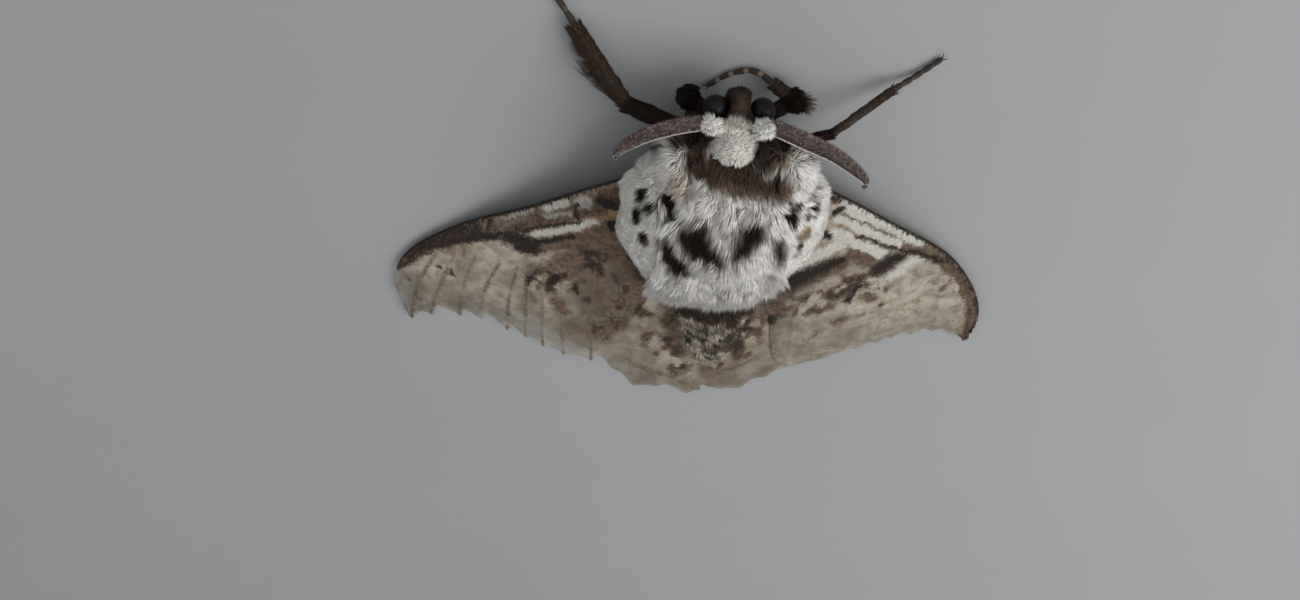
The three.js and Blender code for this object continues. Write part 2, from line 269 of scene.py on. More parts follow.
@dataclass
class Strands:
    """Many thin tapering solids, each along a short path: tufts, scales, comb teeth, claws."""

    paths: np.ndarray  # (count, rows, 3), the last row being the tips
    widths: np.ndarray  # (count, rows - 1)
    up: np.ndarray  # (count, 3), the broad face's outward direction
    flatness: float = 0.6
    sides: int = 3

    def points(self) -> np.ndarray:
        """All vertices: the rings row by row, then the tip, strand after strand."""
        count, rows, _ = self.paths.shape
        tangent = unit(np.gradient(self.paths, axis=1))[:, :-1]
        across = unit(np.cross(tangent, self.up[:, None]))
        lift = np.cross(across, tangent)
        angle = (np.arange(self.sides) + 0.25) / self.sides * TAU
        wide = across[:, :, None] * np.cos(angle)[:, None]
        tall = lift[:, :, None] * np.sin(angle)[:, None] * self.flatness
        rings = self.paths[:, :-1, None] + (wide + tall) * self.widths[:, :, None, None] / 2
        flat = rings.reshape(count, (rows - 1) * self.sides, 3)
        return np.concatenate([flat, self.paths[:, -1:]], axis=1).reshape(-1, 3)

    def faces(self, roots: np.ndarray) -> Faces:
        """Faces of all strands, each strand a small round patch of the bake map.

        Args:
            roots: The map place of each strand's root, (count, 2).

        Returns:
            The faces with their map places.
        """
        count, rows, _ = self.paths.shape
        sides, rings = self.sides, rows - 1
        quads = ring_quads(rings - 1, sides)
        k = np.arange(sides)
        last = (rings - 1) * sides
        tips = np.stack([last + (k + 1) % sides, last + k, 0 * k + rings * sides], 1)
        pattern = np.concatenate([quads.ravel(), tips.ravel(), k])
        sizes = np.repeat([4, 3, sides], [len(quads), sides, 1])
        turn = (pattern % sides + 0.25) / sides * TAU
        reach = PATCH / 2 * (1 - np.minimum(pattern // sides, rings) / rings)
        offset = np.stack([reach * np.cos(turn), reach * np.sin(turn)], axis=1)
        root_spot = [PATCH * 0.45, -PATCH * 0.45]  # the root's face lies to one side
        offset[-sides:] = offset[-sides:] * 0.2 + root_spot
        corners = (pattern + (np.arange(count) * self.vertices)[:, None]).ravel()
        places = (roots[:, None] + offset[None]).reshape(-1, 2)
        return Faces(corners, np.tile(sizes, count), np.clip(places, 0.001, 0.999))

    @property
    def vertices(self) -> int:
        """Vertices of one strand."""
        return (self.paths.shape[1] - 1) * self.sides + 1

    def spread(self, numbers: np.ndarray | float) -> np.ndarray:
        """Repeats one number for each strand, or one for all, over the vertices."""
        return np.repeat(np.broadcast_to(numbers, len(self.paths)), self.vertices)

    def along(self) -> np.ndarray:
        """Gives each vertex its share of the way from root to tip."""
        rings = self.paths.shape[1] - 1
        one = np.append(np.repeat(np.arange(rings) / rings, self.sides), 1.0)
        return np.tile(one, len(self.paths))


# ------------------------------------------------------------------ finishes


class Shader:
    """A material's node tree, filled by short calls."""

    def __init__(self, name: str) -> None:
        """Starts a material with a Principled surface."""
        self.material = bpy.data.materials.new(name)
        self.material.use_nodes = True
        self.tree = self.material.node_tree
        self.surface = self.tree.nodes["Principled BSDF"]
        mapping = self.node("Mapping", {"Vector": self.node("TexCoord", {}).outputs["Object"]})
        mapping.inputs["Scale"].default_value = (1 / MM,) * 3
        self.place = mapping.outputs["Vector"]  # object coordinates in millimetres

    def put(self, target: bpy.types.NodeSocket, value: object) -> None:
        """Links a socket, or sets a plain number or colour."""
        if isinstance(value, bpy.types.NodeSocket):
            self.tree.links.new(value, target)
        elif isinstance(value, tuple):
            target.default_value = (*value, 1.0)
        else:
            target.default_value = value

    def node(self, kind: str, inputs: dict[str | int, object], **fields: object) -> bpy.types.Node:
        """Adds a node.

        Args:
            kind: Its type, without the word ShaderNode.
            inputs: What goes into its sockets, by name or number.
            fields: Its own settings.

        Returns:
            The node.
        """
        node = self.tree.nodes.new(f"ShaderNode{kind}")
        for key, value in fields.items():
            setattr(node, key, value)
        for key, value in inputs.items():
            self.put(node.inputs[key], value)
        return node

    def set(self, **values: object) -> None:
        """Sets sockets of the surface; a name's underscores stand for spaces."""
        for key, value in values.items():
            self.put(self.surface.inputs[key.replace("_", " ")], value)

    def attribute(self, name: str) -> bpy.types.NodeSocket:
        """Reads a named number of the mesh."""
        return self.node("Attribute", {}, attribute_name=name).outputs["Fac"]

    def noise(self, scale: float, detail: float = 2.0, roughness: float = 0.5) -> bpy.types.NodeSocket:
        """Noise from 0 to 1 with so many features to a millimetre."""
        inputs = {"Vector": self.place, "Scale": scale, "Detail": detail, "Roughness": roughness}
        return self.node("TexNoise", inputs).outputs["Fac"]

    def cells(self, scale: float) -> bpy.types.NodeSocket:
        """Distance to the nearest of many points, so many to a millimetre."""
        return self.node("TexVoronoi", {"Vector": self.place, "Scale": scale}).outputs["Distance"]

    def math(self, operation: str, a: object, b: object) -> bpy.types.NodeSocket:
        """One arithmetic step of two numbers."""
        return self.node("Math", {0: a, 1: b}, operation=operation).outputs[0]

    def step(
        self, value: object, low: float, high: float, start: float = 0.0, end: float = 1.0
    ) -> bpy.types.NodeSocket:
        """Runs smoothly from start at low to end at high."""
        inputs = {"Value": value, "From Min": low, "From Max": high, "To Min": start, "To Max": end}
        return self.node("MapRange", inputs, interpolation_type="SMOOTHSTEP").outputs["Result"]

    def mix(self, factor: object, a: object, b: object) -> bpy.types.NodeSocket:
        """Mixes two colours."""
        return self.node("Mix", {0: factor, 6: a, 7: b}, data_type="RGBA").outputs[2]

    def shade(self, colour: bpy.types.NodeSocket, amount: object) -> bpy.types.NodeSocket:
        """Multiplies a colour by a number."""
        inputs = {0: colour, "Scale": amount}
        return self.node("VectorMath", inputs, operation="SCALE").outputs[0]

    def bump(self, height: bpy.types.NodeSocket, depth: float, strength: float) -> None:
        """Raises the surface by a height pattern; depth is in millimetres."""
        inputs = {"Distance": depth * MM, "Strength": strength, "Height": height}
        self.set(Normal=self.node("Bump", inputs).outputs["Normal"])


@dataclass(frozen=True)
class PeltFinish:
    """Hair and the skin under it, coloured by the markings that each mesh carries, and darkened towards the
    roots as painted shade.
    """

    name: str = "pelt"
    white: Colour = (0.82, 0.795, 0.755)
    tan: Colour = (0.50, 0.385, 0.255)
    brown: Colour = (0.13, 0.088, 0.064)
    dark: Colour = (0.017, 0.011, 0.009)
    # painted shade: the hair's brightness at its root, standing in for the shade deep in the coat
    root_shade: float = 0.8

    def material(self) -> bpy.types.Material:
        """Makes the material."""
        pad = Shader(self.name)
        colour = self.white
        for mark, tone in (("warm", self.tan), ("brown", self.brown), ("dark", self.dark)):
            colour = pad.mix(pad.attribute(mark), colour, tone)
        colour = pad.shade(colour, pad.step(pad.attribute("shade"), 0, 1, 0.74, 1.08))
        # Painted shade: each tuft darkens towards its root, and the skin under the coat most of all.
        colour = pad.shade(colour, pad.step(pad.attribute("along"), 0, 0.5, self.root_shade, 1.0))
        colour = pad.shade(colour, pad.step(pad.noise(3.0), 0.3, 0.7, 0.93, 1.05))
        pad.set(Base_Color=colour, Roughness=0.8, Specular_IOR_Level=0.08)
        return pad.material


@dataclass(frozen=True)
class WingFinish:
    """Scaled wing membrane: beige where worn, with brown, white and near-black scales."""

    name: str = "wing_scales"
    membrane: Colour = (0.36, 0.325, 0.265)
    membrane_deep: Colour = (0.235, 0.197, 0.148)
    stain: Colour = (0.125, 0.094, 0.066)
    orange: Colour = (0.22, 0.125, 0.055)
    brown: Colour = (0.068, 0.045, 0.031)
    white: Colour = (0.43, 0.412, 0.375)
    dark: Colour = (0.016, 0.011, 0.009)
    opacity_clear: float = 0.28

    def material(self) -> bpy.types.Material:
        """Makes the material."""
        pad = Shader(self.name)
        fine = pad.noise(6.0, 3.0, 0.6)
        soft = pad.noise(1.1, 3.0, 0.6)
        colour = pad.mix(pad.step(soft, 0.38, 0.66), self.membrane, self.membrane_deep)
        colour = pad.mix(pad.attribute("deep"), colour, self.stain)
        colour = pad.mix(pad.attribute("warm"), colour, self.orange)
        colour = pad.mix(self.ragged(pad, "brown", fine, 0.7), colour, self.brown_tone(pad))
        speckle = pad.step(pad.noise(2.4, 4.0, 0.7), 0.46, 0.62, 1.0, 0.78)
        white = pad.math("MULTIPLY", self.ragged(pad, "pale", fine, 0.75), speckle)
        colour = pad.mix(white, colour, self.white)
        colour = pad.mix(self.ragged(pad, "dark", fine, 0.7), colour, self.dark)
        colour = pad.shade(colour, pad.step(pad.noise(9.0, 2.0), 0.3, 0.7, 0.9, 1.08))
        clear = pad.step(pad.attribute("clear"), 0.0, 1.0, 1.0, self.opacity_clear)
        pad.set(Base_Color=colour, Roughness=0.75, Alpha=clear, Specular_IOR_Level=0.15)
        relief = pad.math("ADD", pad.noise(8.0, 2.0), pad.math("MULTIPLY", pad.noise(2.2), 1.5))
        pad.bump(relief, 0.025, 0.7)
        return pad.material

    def brown_tone(self, pad: Shader) -> bpy.types.NodeSocket:
        """Brown scales that vary from warm to deep."""
        lighter = tuple(min(1.0, c * 1.8) for c in self.brown)
        return pad.mix(pad.step(pad.noise(2.2, 3.0), 0.36, 0.66), self.brown, lighter)

    @staticmethod
    def ragged(pad: Shader, name: str, fine: bpy.types.NodeSocket, width: float) -> bpy.types.NodeSocket:
        """Turns a soft mark of the mesh into scales with a ragged edge."""
        value = pad.math("ADD", pad.attribute(name), pad.math("SUBTRACT", fine, 0.5))
        return pad.step(value, 0.5 - width / 2, 0.5 + width / 2)


@dataclass(frozen=True)
class EyeFinish:
    """Dark, glossy, finely faceted eye."""

    name: str = "eye_gloss"

    def material(self) -> bpy.types.Material:
        """Makes the material."""
        pad = Shader(self.name)
        colour = pad.mix(pad.noise(1.2), (0.004, 0.0035, 0.004), (0.014, 0.012, 0.013))
        pad.set(Base_Color=colour, Roughness=0.34, Specular_IOR_Level=0.09)
        pad.bump(pad.cells(16.0), 0.012, 0.6)
        return pad.material


@dataclass(frozen=True)
class FeelerFinish:
    """Comb teeth of an antenna: reddish grey-brown, dusted with pale grains."""

    name: str = "feeler_comb"
    brown: Colour = (0.072, 0.043, 0.036)
    dust: Colour = (0.24, 0.196, 0.174)
    groove: Colour = (0.014, 0.010, 0.009)
    shaft: Colour = (0.40, 0.37, 0.335)

    def material(self) -> bpy.types.Material:
        """Makes the material."""
        pad = Shader(self.name)
        specks = pad.step(pad.noise(5.0, 4.0, 0.8), 0.5, 0.6, 0.0, 0.9)
        deep = tuple(c * 0.5 for c in self.brown)
        colour = pad.mix(pad.step(pad.noise(1.5, 2.0), 0.35, 0.65), self.brown, deep)
        colour = pad.mix(specks, colour, self.dust)
        colour = pad.mix(pad.attribute("dark"), colour, self.groove)
        colour = pad.mix(pad.attribute("pale"), colour, self.shaft)
        pad.set(Base_Color=colour, Roughness=0.6, Specular_IOR_Level=0.3)
        pad.bump(pad.noise(14.0, 2.0), 0.02, 0.7)
        return pad.material


@dataclass(frozen=True)
class LimbFinish:
    """Horny leg surface, ringed with paler bands by the mesh's own band numbers."""

    name: str = "limb_horn"
    dark: Colour = (0.030, 0.021, 0.016)
    pale: Colour = (0.135, 0.10, 0.070)

    def material(self) -> bpy.types.Material:
        """Makes the material."""
        pad = Shader(self.name)
        value = pad.math("ADD", pad.attribute("band"), pad.math("SUBTRACT", pad.noise(7.0), 0.5))
        colour = pad.mix(pad.step(value, 0.35, 0.75), self.dark, self.pale)
        pad.set(Base_Color=colour, Roughness=0.62, Specular_IOR_Level=0.2)
        pad.bump(pad.noise(12.0, 2.0), 0.02, 0.6)
        return pad.material


@dataclass(frozen=True)
class FloorFinish:
    """Plain pale floor with a trace of mottling."""

    name: str = "floor_plain"
    colour: Colour = (0.246, 0.248, 0.25)

    def material(self) -> bpy.types.Material:
        """Makes the material."""
        pad = Shader(self.name)
        lighter = tuple(c * 1.05 for c in self.colour)
        pad.set(Base_Color=pad.mix(pad.noise(0.06, 3.0), self.colour, lighter), Roughness=0.85)
        return pad.material


class Look(Enum):
    """The finishes, each turned into one material."""

    PELT = PeltFinish()
    WING = WingFinish()
    EYE = EyeFinish()
    FEELER = FeelerFinish()
    HORN = LimbFinish()
    FLOOR = FloorFinish()


class Maker:
    """Makes mesh objects from the datum's points and hands them to the frame."""

    def __init__(self) -> None:
        """Finds the datum and makes the materials."""
        self.datum = Datum()
        self.materials = {look: look.value.material() for look in Look}

    def mesh(
        self, name: str, points: np.ndarray, faces: Faces, values: Numbers, smooth: bool = True
    ) -> bpy.types.Object:
        """Makes one mesh object.

        Args:
            name: The piece's name.
            points: Its vertices in millimetres.
            faces: Its faces.
            values: Named numbers for its vertices.
            smooth: Whether its faces shade smoothly.

        Returns:
            The new object, at the origin.
        """
        mesh = bpy.data.meshes.new(name)
        mesh.vertices.add(len(points))
        mesh.vertices.foreach_set("co", self.datum.metres(points).astype(np.float32).ravel())
        mesh.loops.add(len(faces.corners))
        mesh.loops.foreach_set("vertex_index", faces.corners.astype(np.int32))
        mesh.polygons.add(len(faces.sizes))
        starts = np.concatenate([[0], np.cumsum(faces.sizes)[:-1]])
        mesh.polygons.foreach_set("loop_start", starts.astype(np.int32))
        mesh.polygons.foreach_set("use_smooth", np.full(len(faces.sizes), smooth))
        if faces.places is not None:
            layer = mesh.uv_layers.new(name=BAKE_MAP)
            layer.data.foreach_set("uv", faces.places.astype(np.float32).ravel())
        put_numbers(mesh, values)
        mesh.update(calc_edges=True)
        mesh.validate()
        piece = bpy.data.objects.new(name, mesh)
        bpy.context.scene.collection.objects.link(piece)
        return piece

    def tube(self, name: str, points: np.ndarray, radii: np.ndarray, sides: int = 12) -> bpy.types.Object:
        """Makes a closed round tube of changing radius along a path.

        Args:
            name: The piece's name.
            points: The path, in millimetres.
            radii: The radius at each point.
            sides: Corners of the section.

        Returns:
            The tube's object.
        """
        tangent = unit(np.gradient(points, axis=0))
        across = unit(np.cross(tangent, UP))
        up = np.cross(across, tangent)
        angle = (np.arange(sides) / sides * TAU)[:, None]
        ring = across[:, None] * np.cos(angle) + up[:, None] * np.sin(angle)
        body = (points[:, None] + ring * radii[:, None, None]).reshape(-1, 3)
        ends = points[[0, -1]] + tangent[[0, -1]] * radii[[0, -1], None] * [[-0.4], [0.4]]
        along = np.append(np.repeat(np.linspace(0, 1, len(points)), sides), [0.0, 1.0])
        return self.mesh(name, np.vstack([body, ends]), tube_faces(len(points), sides), {"along": along})

    def finish(self, piece: bpy.types.Object, look: Look, slot: str, *nodes: str) -> None:
        """Dresses a piece and hands it to the frame.

        Args:
            piece: The piece.
            look: Its finish.
            slot: The record's material slot; not used.
            nodes: Frame nodes that the piece stands for.
        """
        piece.data.materials.clear()
        piece.data.materials.append(self.materials[look])
        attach(piece, BODY)
        if nodes:
            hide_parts(*nodes)
        LOG.info("made %s: %d faces", piece.name, len(piece.data.polygons))

    def grow(
        self,
        name: str,
        strands: Strands,
        roots: np.ndarray,
        values: Numbers,
        look: Look,
        slot: str,
        smooth: bool = True,
    ) -> None:
        """Makes a piece of strands and hands it to the frame.

        Args:
            name: The piece's name.
            strands: Its strands.
            roots: The map place of each strand's root, (count, 2).
            values: Named numbers, one for each strand or one for all.
            look: Its finish.
            slot: The record's material slot.
            smooth: Whether its faces shade smoothly.
        """
        spread = {key: strands.spread(numbers) for key, numbers in values.items()}
        spread["along"] = strands.along()
        piece = self.mesh(name, strands.points(), strands.faces(roots), spread, smooth)
        self.finish(piece, look, slot)


# ------------------------------------------------------------------ markings


@dataclass(frozen=True)
class Stroke:
    """One painted mark: a path in plan with a soft edge."""

    path: tuple[float, ...]  # x and y in turn
    half: float
    soft: float = 0.28
    strength: float = 1.0
    end: float | None = None  # half width at the end, where that differs
    kind: str = ""
    above: float = ANY_HEIGHT

    def value(self, points: np.ndarray) -> np.ndarray:
        """Measures the mark at points.

        Args:
            points: Points of shape (count, 3), in millimetres.

        Returns:
            1 inside the mark, 0.5 at its edge and 0 outside, times its strength.
        """
        plan = points[:, :2]
        nodes = np.array(self.path if len(self.path) > 2 else self.path * 2).reshape(-1, 2)
        last = self.half if self.end is None else self.end
        widths = np.linspace(self.half, last, len(nodes))
        best = np.full(len(plan), ANY_HEIGHT)
        for a, b, wide_a, wide_b in zip(nodes[:-1], nodes[1:], widths[:-1], widths[1:]):
            run = b - a
            t = np.clip(((plan - a) @ run) / max(run @ run, 1e-9), 0, 1)
            gap = np.linalg.norm(plan - a - t[:, None] * run, axis=1)
            best = np.maximum(best, wide_a + (wide_b - wide_a) * t - gap)
        inside = np.clip(0.5 + best / (2 * self.soft), 0, 1)
        return inside * self.strength * (points[:, 2] > self.above)


@dataclass(frozen=True)
class Spot:
    """One round mark about a place in space, for steep stretches of the body."""

    middle: Point3
    reach: float
    stretch: float = 1.0  # its length along the body, in widths
    strength: float = 1.0
    soft: float = 0.12
    kind: str = ""

    def value(self, points: np.ndarray) -> np.ndarray:
        """Measures the mark at points: 1 inside, 0.5 at its edge and 0 outside, times its strength."""
        gap = np.linalg.norm((points - np.array(self.middle)) / [1.0, self.stretch, 1.0], axis=1)
        return np.clip(0.5 + (self.reach - gap) / (2 * self.soft), 0, 1) * self.strength


def strokes(kind: str, above: float, *rows: tuple) -> tuple[Stroke, ...]:
    """Makes strokes of one kind that show above one height, each row a stroke's first fields."""
    return tuple(Stroke(*row, kind=kind, above=above) for row in rows)


def spots(kind: str, *rows: tuple) -> tuple[Spot, ...]:
    """Makes spots of one kind, each row a spot's first fields."""
    return tuple(Spot(*row, kind=kind) for row in rows)


def paint(marks: Sequence[Stroke | Spot], points: np.ndarray, kinds: Sequence[str]) -> Values:
    """Measures all marks at points, the strongest of each kind."""
    result = {kind: np.zeros(len(points)) for kind in kinds}
    for mark in marks:
        result[mark.kind] = np.maximum(result[mark.kind], mark.value(points))
    return result


@dataclass(frozen=True)
class Pelt:
    """Where the body's hair is white, tan, brown or near black."""

    kinds: tuple[str, ...] = ("warm", "brown", "dark")
    tuft_centres: tuple[Point3, ...] = ((1.95, -10.1, 6.6), (-1.65, -10.15, 6.7))
    tuft_reach: float = 0.74
    crown_centre: Point2 = (0.2, -8.8)
    crown_reach: Point2 = (1.6, 1.16)
    crown_floor: float = 6.0
    back: tuple[Stroke, ...] = (
        *strokes("dark", 5,
            ((2.1, -1.95, 1.8, -1.35), 1.08, 0.36, 1.0, 0.98), ((1.4, -1.2, 0.4, 0.2), 0.6, 0.28, 0.9, 0.4),
            ((-1.7, -2.5, -1.35, -2.0, -1.0, -0.7), 0.76, 0.36, 0.95, 0.5),
            ((2.4, -7.2, 1.2, -7.0, -0.4, -6.9, -1.8, -6.6, -2.8, -6.3), 0.6, 0.28, 0.55),
        ),
        *strokes("brown", 5,
            ((2.2, -2.0, 1.2, -0.9, 0.3, 0.4), 1.2, 0.5, 0.7, 0.6),
            ((-1.8, -2.8, -1.3, -1.7, -0.95, -0.3), 0.98, 0.45, 0.7, 0.65),
            ((0.6, -2.7, -0.6, -2.6), 0.6, 0.6, 0.45),
            ((2.5, -7.2, 0.2, -6.5, -1.5, -6.2, -3.1, -6.0), 0.9, 0.35, 0.9, 1.0),
            ((0.8, -5.5, 0.7, -4.5, 0.6, -3.6), 0.18, 0.35, 0.6),
            ((-0.9, -5.6, -1.2, -4.6, -1.1, -3.6), 0.26, 0.4, 0.55),
            ((-2.4, -5.4, -2.6, -4.4), 0.18, 0.35, 0.55), ((2.9, -5.8, 2.9, -4.6), 0.18, 0.35, 0.5),
        ),
        *strokes("dark", 4,
            ((4.15, -1.45, 3.9, -0.8, 3.55, -0.1, 2.8, 1.1), 0.3, 0.28, 1.0, 0.6),
            ((-3.2, -2.5, -4.0, -2.1), 0.22, 0.2, 0.95), ((-3.9, -1.3, -4.2, -0.6), 0.22, 0.3, 0.7),
            ((-1.8, -8.4, -2.1, -7.6), 0.3, 0.3, 0.8),
        ),
        *strokes("brown", 4,
            ((4.1, -1.2, 3.7, -0.2, 2.7, 1.5), 0.45, 0.4, 0.75, 0.85),
            ((-3.7, -1.7, -4.1, -0.5), 0.42, 0.35, 0.85), ((-4.0, 1.6, -3.6, 3.0), 0.4, 0.5, 0.5),
            ((2.3, -7.9, 3.2, -8.6), 0.75, 0.35, 0.95),
            ((-1.7, -8.7, -1.9, -7.7, -2.7, -7.9), 0.66, 0.35, 0.95),
            ((-3.0, 5.5, 0.0, 6.4, 3.0, 5.5), 1.6, 1.2, 0.2), ((0.2, 0.8, 0.3, 3.0), 0.4, 0.7, 0.35),
            ((-0.6, 3.6, -0.9, 5.6), 0.5, 0.7, 0.35),
        ),
        *strokes("dark", 3.5,
            ((2.1, -8.9, 3.6, -8.9, 4.4, -8.4), 0.6, 0.25, 1.0, 0.45),
            ((-1.9, -9.0, -2.7, -8.7, -3.6, -8.6), 0.55, 0.25, 1.0, 0.35),
        ),
        *strokes("warm", 4,
            ((-2.8, -8.4, -3.3, -8.0), 0.45, 0.4, 0.8), ((3.8, -6.0, 3.5, -5.4), 0.55, 0.6, 0.7),
            ((-3.6, -6.0), 0.4, 0.5, 0.5),
        ),
        # Painted shade: two small dark spots in the gaps between the antenna-base tufts and the crown.
        *strokes("dark", 5.5,
            ((1.24, -9.85), 0.18, 0.15), ((-0.85, -9.85), 0.2, 0.15),
        ),
    )
    flaps: tuple[Spot, ...] = (
        *spots("dark",
            ((4.5, -4.15, 7.65), 0.6), ((4.3, -3.75, 7.95), 0.66), ((4.05, -3.3, 8.3), 0.56),
            ((6.06, -4.1, 6.85), 0.42, 1.7), ((5.36, -3.45, 7.55), 0.42), ((6.1, -2.3, 7.1), 0.4, 1.9),
            ((6.0, -6.9, 5.3), 0.85, 1.2, 1.0, 0.35), ((-5.5, -7.4, 5.5), 0.6, 1.0, 1.0, 0.35),
            ((5.6, -0.9, 7.6), 0.32, 1.5), ((-4.65, -4.6, 8.1), 0.58), ((-4.45, -3.95, 8.5), 0.54),
            ((-6.1, -4.4, 7.2), 0.4, 1.7), ((-5.53, -3.75, 7.76), 0.34), ((-5.28, -1.4, 8.1), 0.34),
            ((-5.0, -2.4, 8.4), 0.18, 1.0, 0.9),
        ),
        *spots("brown",
            ((5.9, -3.1, 7.2), 0.55, 1.6, 0.45, 0.3), ((5.5, -0.7, 7.7), 0.55, 1.0, 0.85),
            ((-6.1, -3.6, 7.4), 0.28, 1.0, 0.8), ((-5.5, -2.35, 8.0), 0.55, 1.0, 0.55),
            ((-5.2, -0.7, 8.1), 0.45, 1.0, 0.5),
        ),
        *spots("warm",
            ((-5.5, -2.35, 8.0), 0.62),
        ),
    )
    tail: tuple[Stroke, ...] = (
        *strokes("dark", ANY_HEIGHT,
            ((-4.6, 9.2, -2.3, 9.3, -0.4, 9.5, 1.6, 9.2, 3.4, 8.6), 0.8, 0.35, 0.72),
            ((0.9, 11.3, 0.1, 11.5, -0.6, 11.6), 0.36, 0.3, 0.85),
            ((-1.1, 11.2, -1.7, 11.6), 0.32, 0.3, 0.85),
            ((-2.5, 12.2, -2.6, 13.6, -2.3, 14.6), 0.4, 0.35, 0.8),
            ((0.9, 13.9, -0.6, 14.3, -2.0, 14.3), 0.16, 0.25, 0.8),
            ((0.4, 15.7, -1.4, 15.9, -2.4, 15.6), 0.14, 0.2, 0.85), ((-0.9, 18.4), 0.2, 0.25, 0.7),
        ),
        *strokes("brown", ANY_HEIGHT,
            ((-4.6, 9.2, -2.3, 9.3, -0.4, 9.5, 1.6, 9.2, 3.4, 8.6), 1.2, 0.35),
        ),
    )
    bands: tuple[float, ...] = (13.3, 15.4, 16.3)  # y of the abdomen's narrow pale rings
    band_half: float = 0.16
    tip_start: float = 16.9

    def marks(self, points: np.ndarray, region: np.ndarray) -> Values:
        """Measures the markings.

        Args:
            points: Points of shape (count, 3), in millimetres.
            region: The index of the coat region that each belongs to.

        Returns:
            For each kind of mark a value from 0 to 1 at each point.
        """
        ragged = np.where(region == FLAP, 0.12, 0.32)[:, None]
        shifted = points + (GRAIN.vector(points, 0.9) + GRAIN.vector(points, 2.7) * 0.8) * ragged
        x, y, z = shifted.T
        tail, face = region == TAIL, region == FACE
        found = paint((*self.back, *self.flaps), shifted, self.kinds)
        hind = self.tail_marks(points, shifted)
        blaze = smoothstep(np.abs(x + 0.1), 0.6, 0.15) * smoothstep(z, 4.2, 5.4)
        brow = smoothstep(z, 6.0, 6.3) * smoothstep(np.abs(x - 0.2), 1.3, 0.9) * (y < -9.3)
        # Painted shade: the body's underside and the nape behind the head are browned and darkened, where
        # the body shades them.
        under = smoothstep(points[:, 2], 3.9, 3.1)
        nape = smoothstep(y, -8.3, -8.9) * smoothstep(z, 7.2, 6.4)
        painted_shade = np.maximum(under, nape) * ~face
        found["warm"] = np.maximum(found["warm"], face * brow * 0.35)
        found["brown"] = np.maximum.reduce([found["brown"], face * (1 - 0.95 * brow), painted_shade * 0.85])
        face_tone = face * (0.62 - 0.4 * blaze) * (1 - brow)
        found["dark"] = np.maximum.reduce([found["dark"], face_tone, painted_shade * 0.6])
        found = {kind: np.minimum(numbers * 1.15, 1) for kind, numbers in found.items()}
        white = (region == CROWN) | (region == TUFT)
        found = {kind: numbers * ~white for kind, numbers in found.items()}
        found["warm"] += 0.18 * (region == CROWN)
        return {kind: np.where(tail, hind[kind], numbers) for kind, numbers in found.items()}

    def tail_marks(self, points: np.ndarray, shifted: np.ndarray) -> Values:
        """Measures the abdomen's markings.

        Args:
            points: Points of shape (count, 3), in millimetres.
            shifted: The same points, strayed to give ragged edges.

        Returns:
            For each kind of mark a value from 0 to 1 at each point.
        """
        x, y, _ = shifted.T
        painted = paint(self.tail, shifted, self.kinds)
        ring = np.zeros(len(points))
        for at in self.bands:
            sag = at - 0.07 * (x + 1.3) ** 2
            ring = np.maximum(ring, smoothstep(np.abs(y - sag), self.band_half + 0.14, self.band_half - 0.1))
        pale = np.maximum(ring * 0.75, smoothstep(y, self.tip_start, self.tip_start + 0.5))
        patches = GRAIN.at(points * [1.0, 1.0, 0.6], 0.85) + 0.6 * GRAIN.at(points, 1.9)
        pale = np.maximum(pale, smoothstep(patches, 0.04, 0.16) * 0.65)
        blotch = smoothstep(patches, -0.02, -0.14) * 0.85 * (1 - pale)
        brown = np.maximum(painted["brown"], 0.8 * (1 - pale))
        dark = np.maximum(painted["dark"], np.maximum(blotch, 0.22 * (1 - pale)))
        return {"warm": np.full(len(points), 0.5), "brown": brown, "dark": dark}


GRAIN = Grain(11)


# ------------------------------------------------------------------ skin and coat


@dataclass(frozen=True)
class CoatRegion:
    """One stretch of the coat: how deep, long, raised and thick its tufts are."""

    name: str
    slot: str
    depth: float
    density: float  # tufts to a square millimetre
    length: float
    lift: Point2  # sine of the tufts' angle to the skin, at the root and at the tip
    width: float = 0.1
    clump: float = 0.45
    clump_size: float = 0.8  # square millimetres


REGIONS: tuple[CoatRegion, ...] = (
    CoatRegion("crown", "head_fur", 0.45, 230, 0.52, (0.8, 0.3), 0.062, 0.25, 0.22),
    CoatRegion("tuft", "head_fur", 0.1, 260, 0.5, (0.98, 0.8), 0.055, 0.3, 0.14),
    CoatRegion("face", "head_fur", 0.3, 170, 0.45, (0.5, 0.15), 0.065, 0.2, 0.3),
    CoatRegion("collar", "collar_fur", 0.75, 150, 1.35, (0.62, 0.25), 0.068, 0.35, 0.45),
    CoatRegion("mantle", "mantle_fur", 0.9, 165, 1.6, (0.75, 0.3), 0.06, 0.3, 0.4),
    CoatRegion("shoulder", "mantle_fur", 0.9, 150, 1.25, (0.9, 0.5), 0.064, 0.35, 0.35),
    CoatRegion("flap", "mantle_fur", 0.18, 165, 0.8, (0.34, 0.14), 0.066, 0.12, 0.35),
    CoatRegion("fringe", "mantle_fur", 0.6, 190, 2.1, (0.26, 0.02), 0.054, 0.1, 0.3),
    CoatRegion("tail", "abdomen_fur", 0.4, 120, 1.15, (0.55, 0.2), 0.075, 0.4, 0.35),
    CoatRegion("breast", "mantle_fur", 0.5, 34, 1.6, (0.5, 0.1), 0.11, 0.4, 0.9),
)
(CROWN, TUFT, FACE, COLLAR, MANTLE, SHOULDER, FLAP, FRINGE, TAIL, BREAST) = range(len(REGIONS))


LOBE_SHAPE = (1.0, 0.8, 0.6)  # how fast a mound falls off along each axis

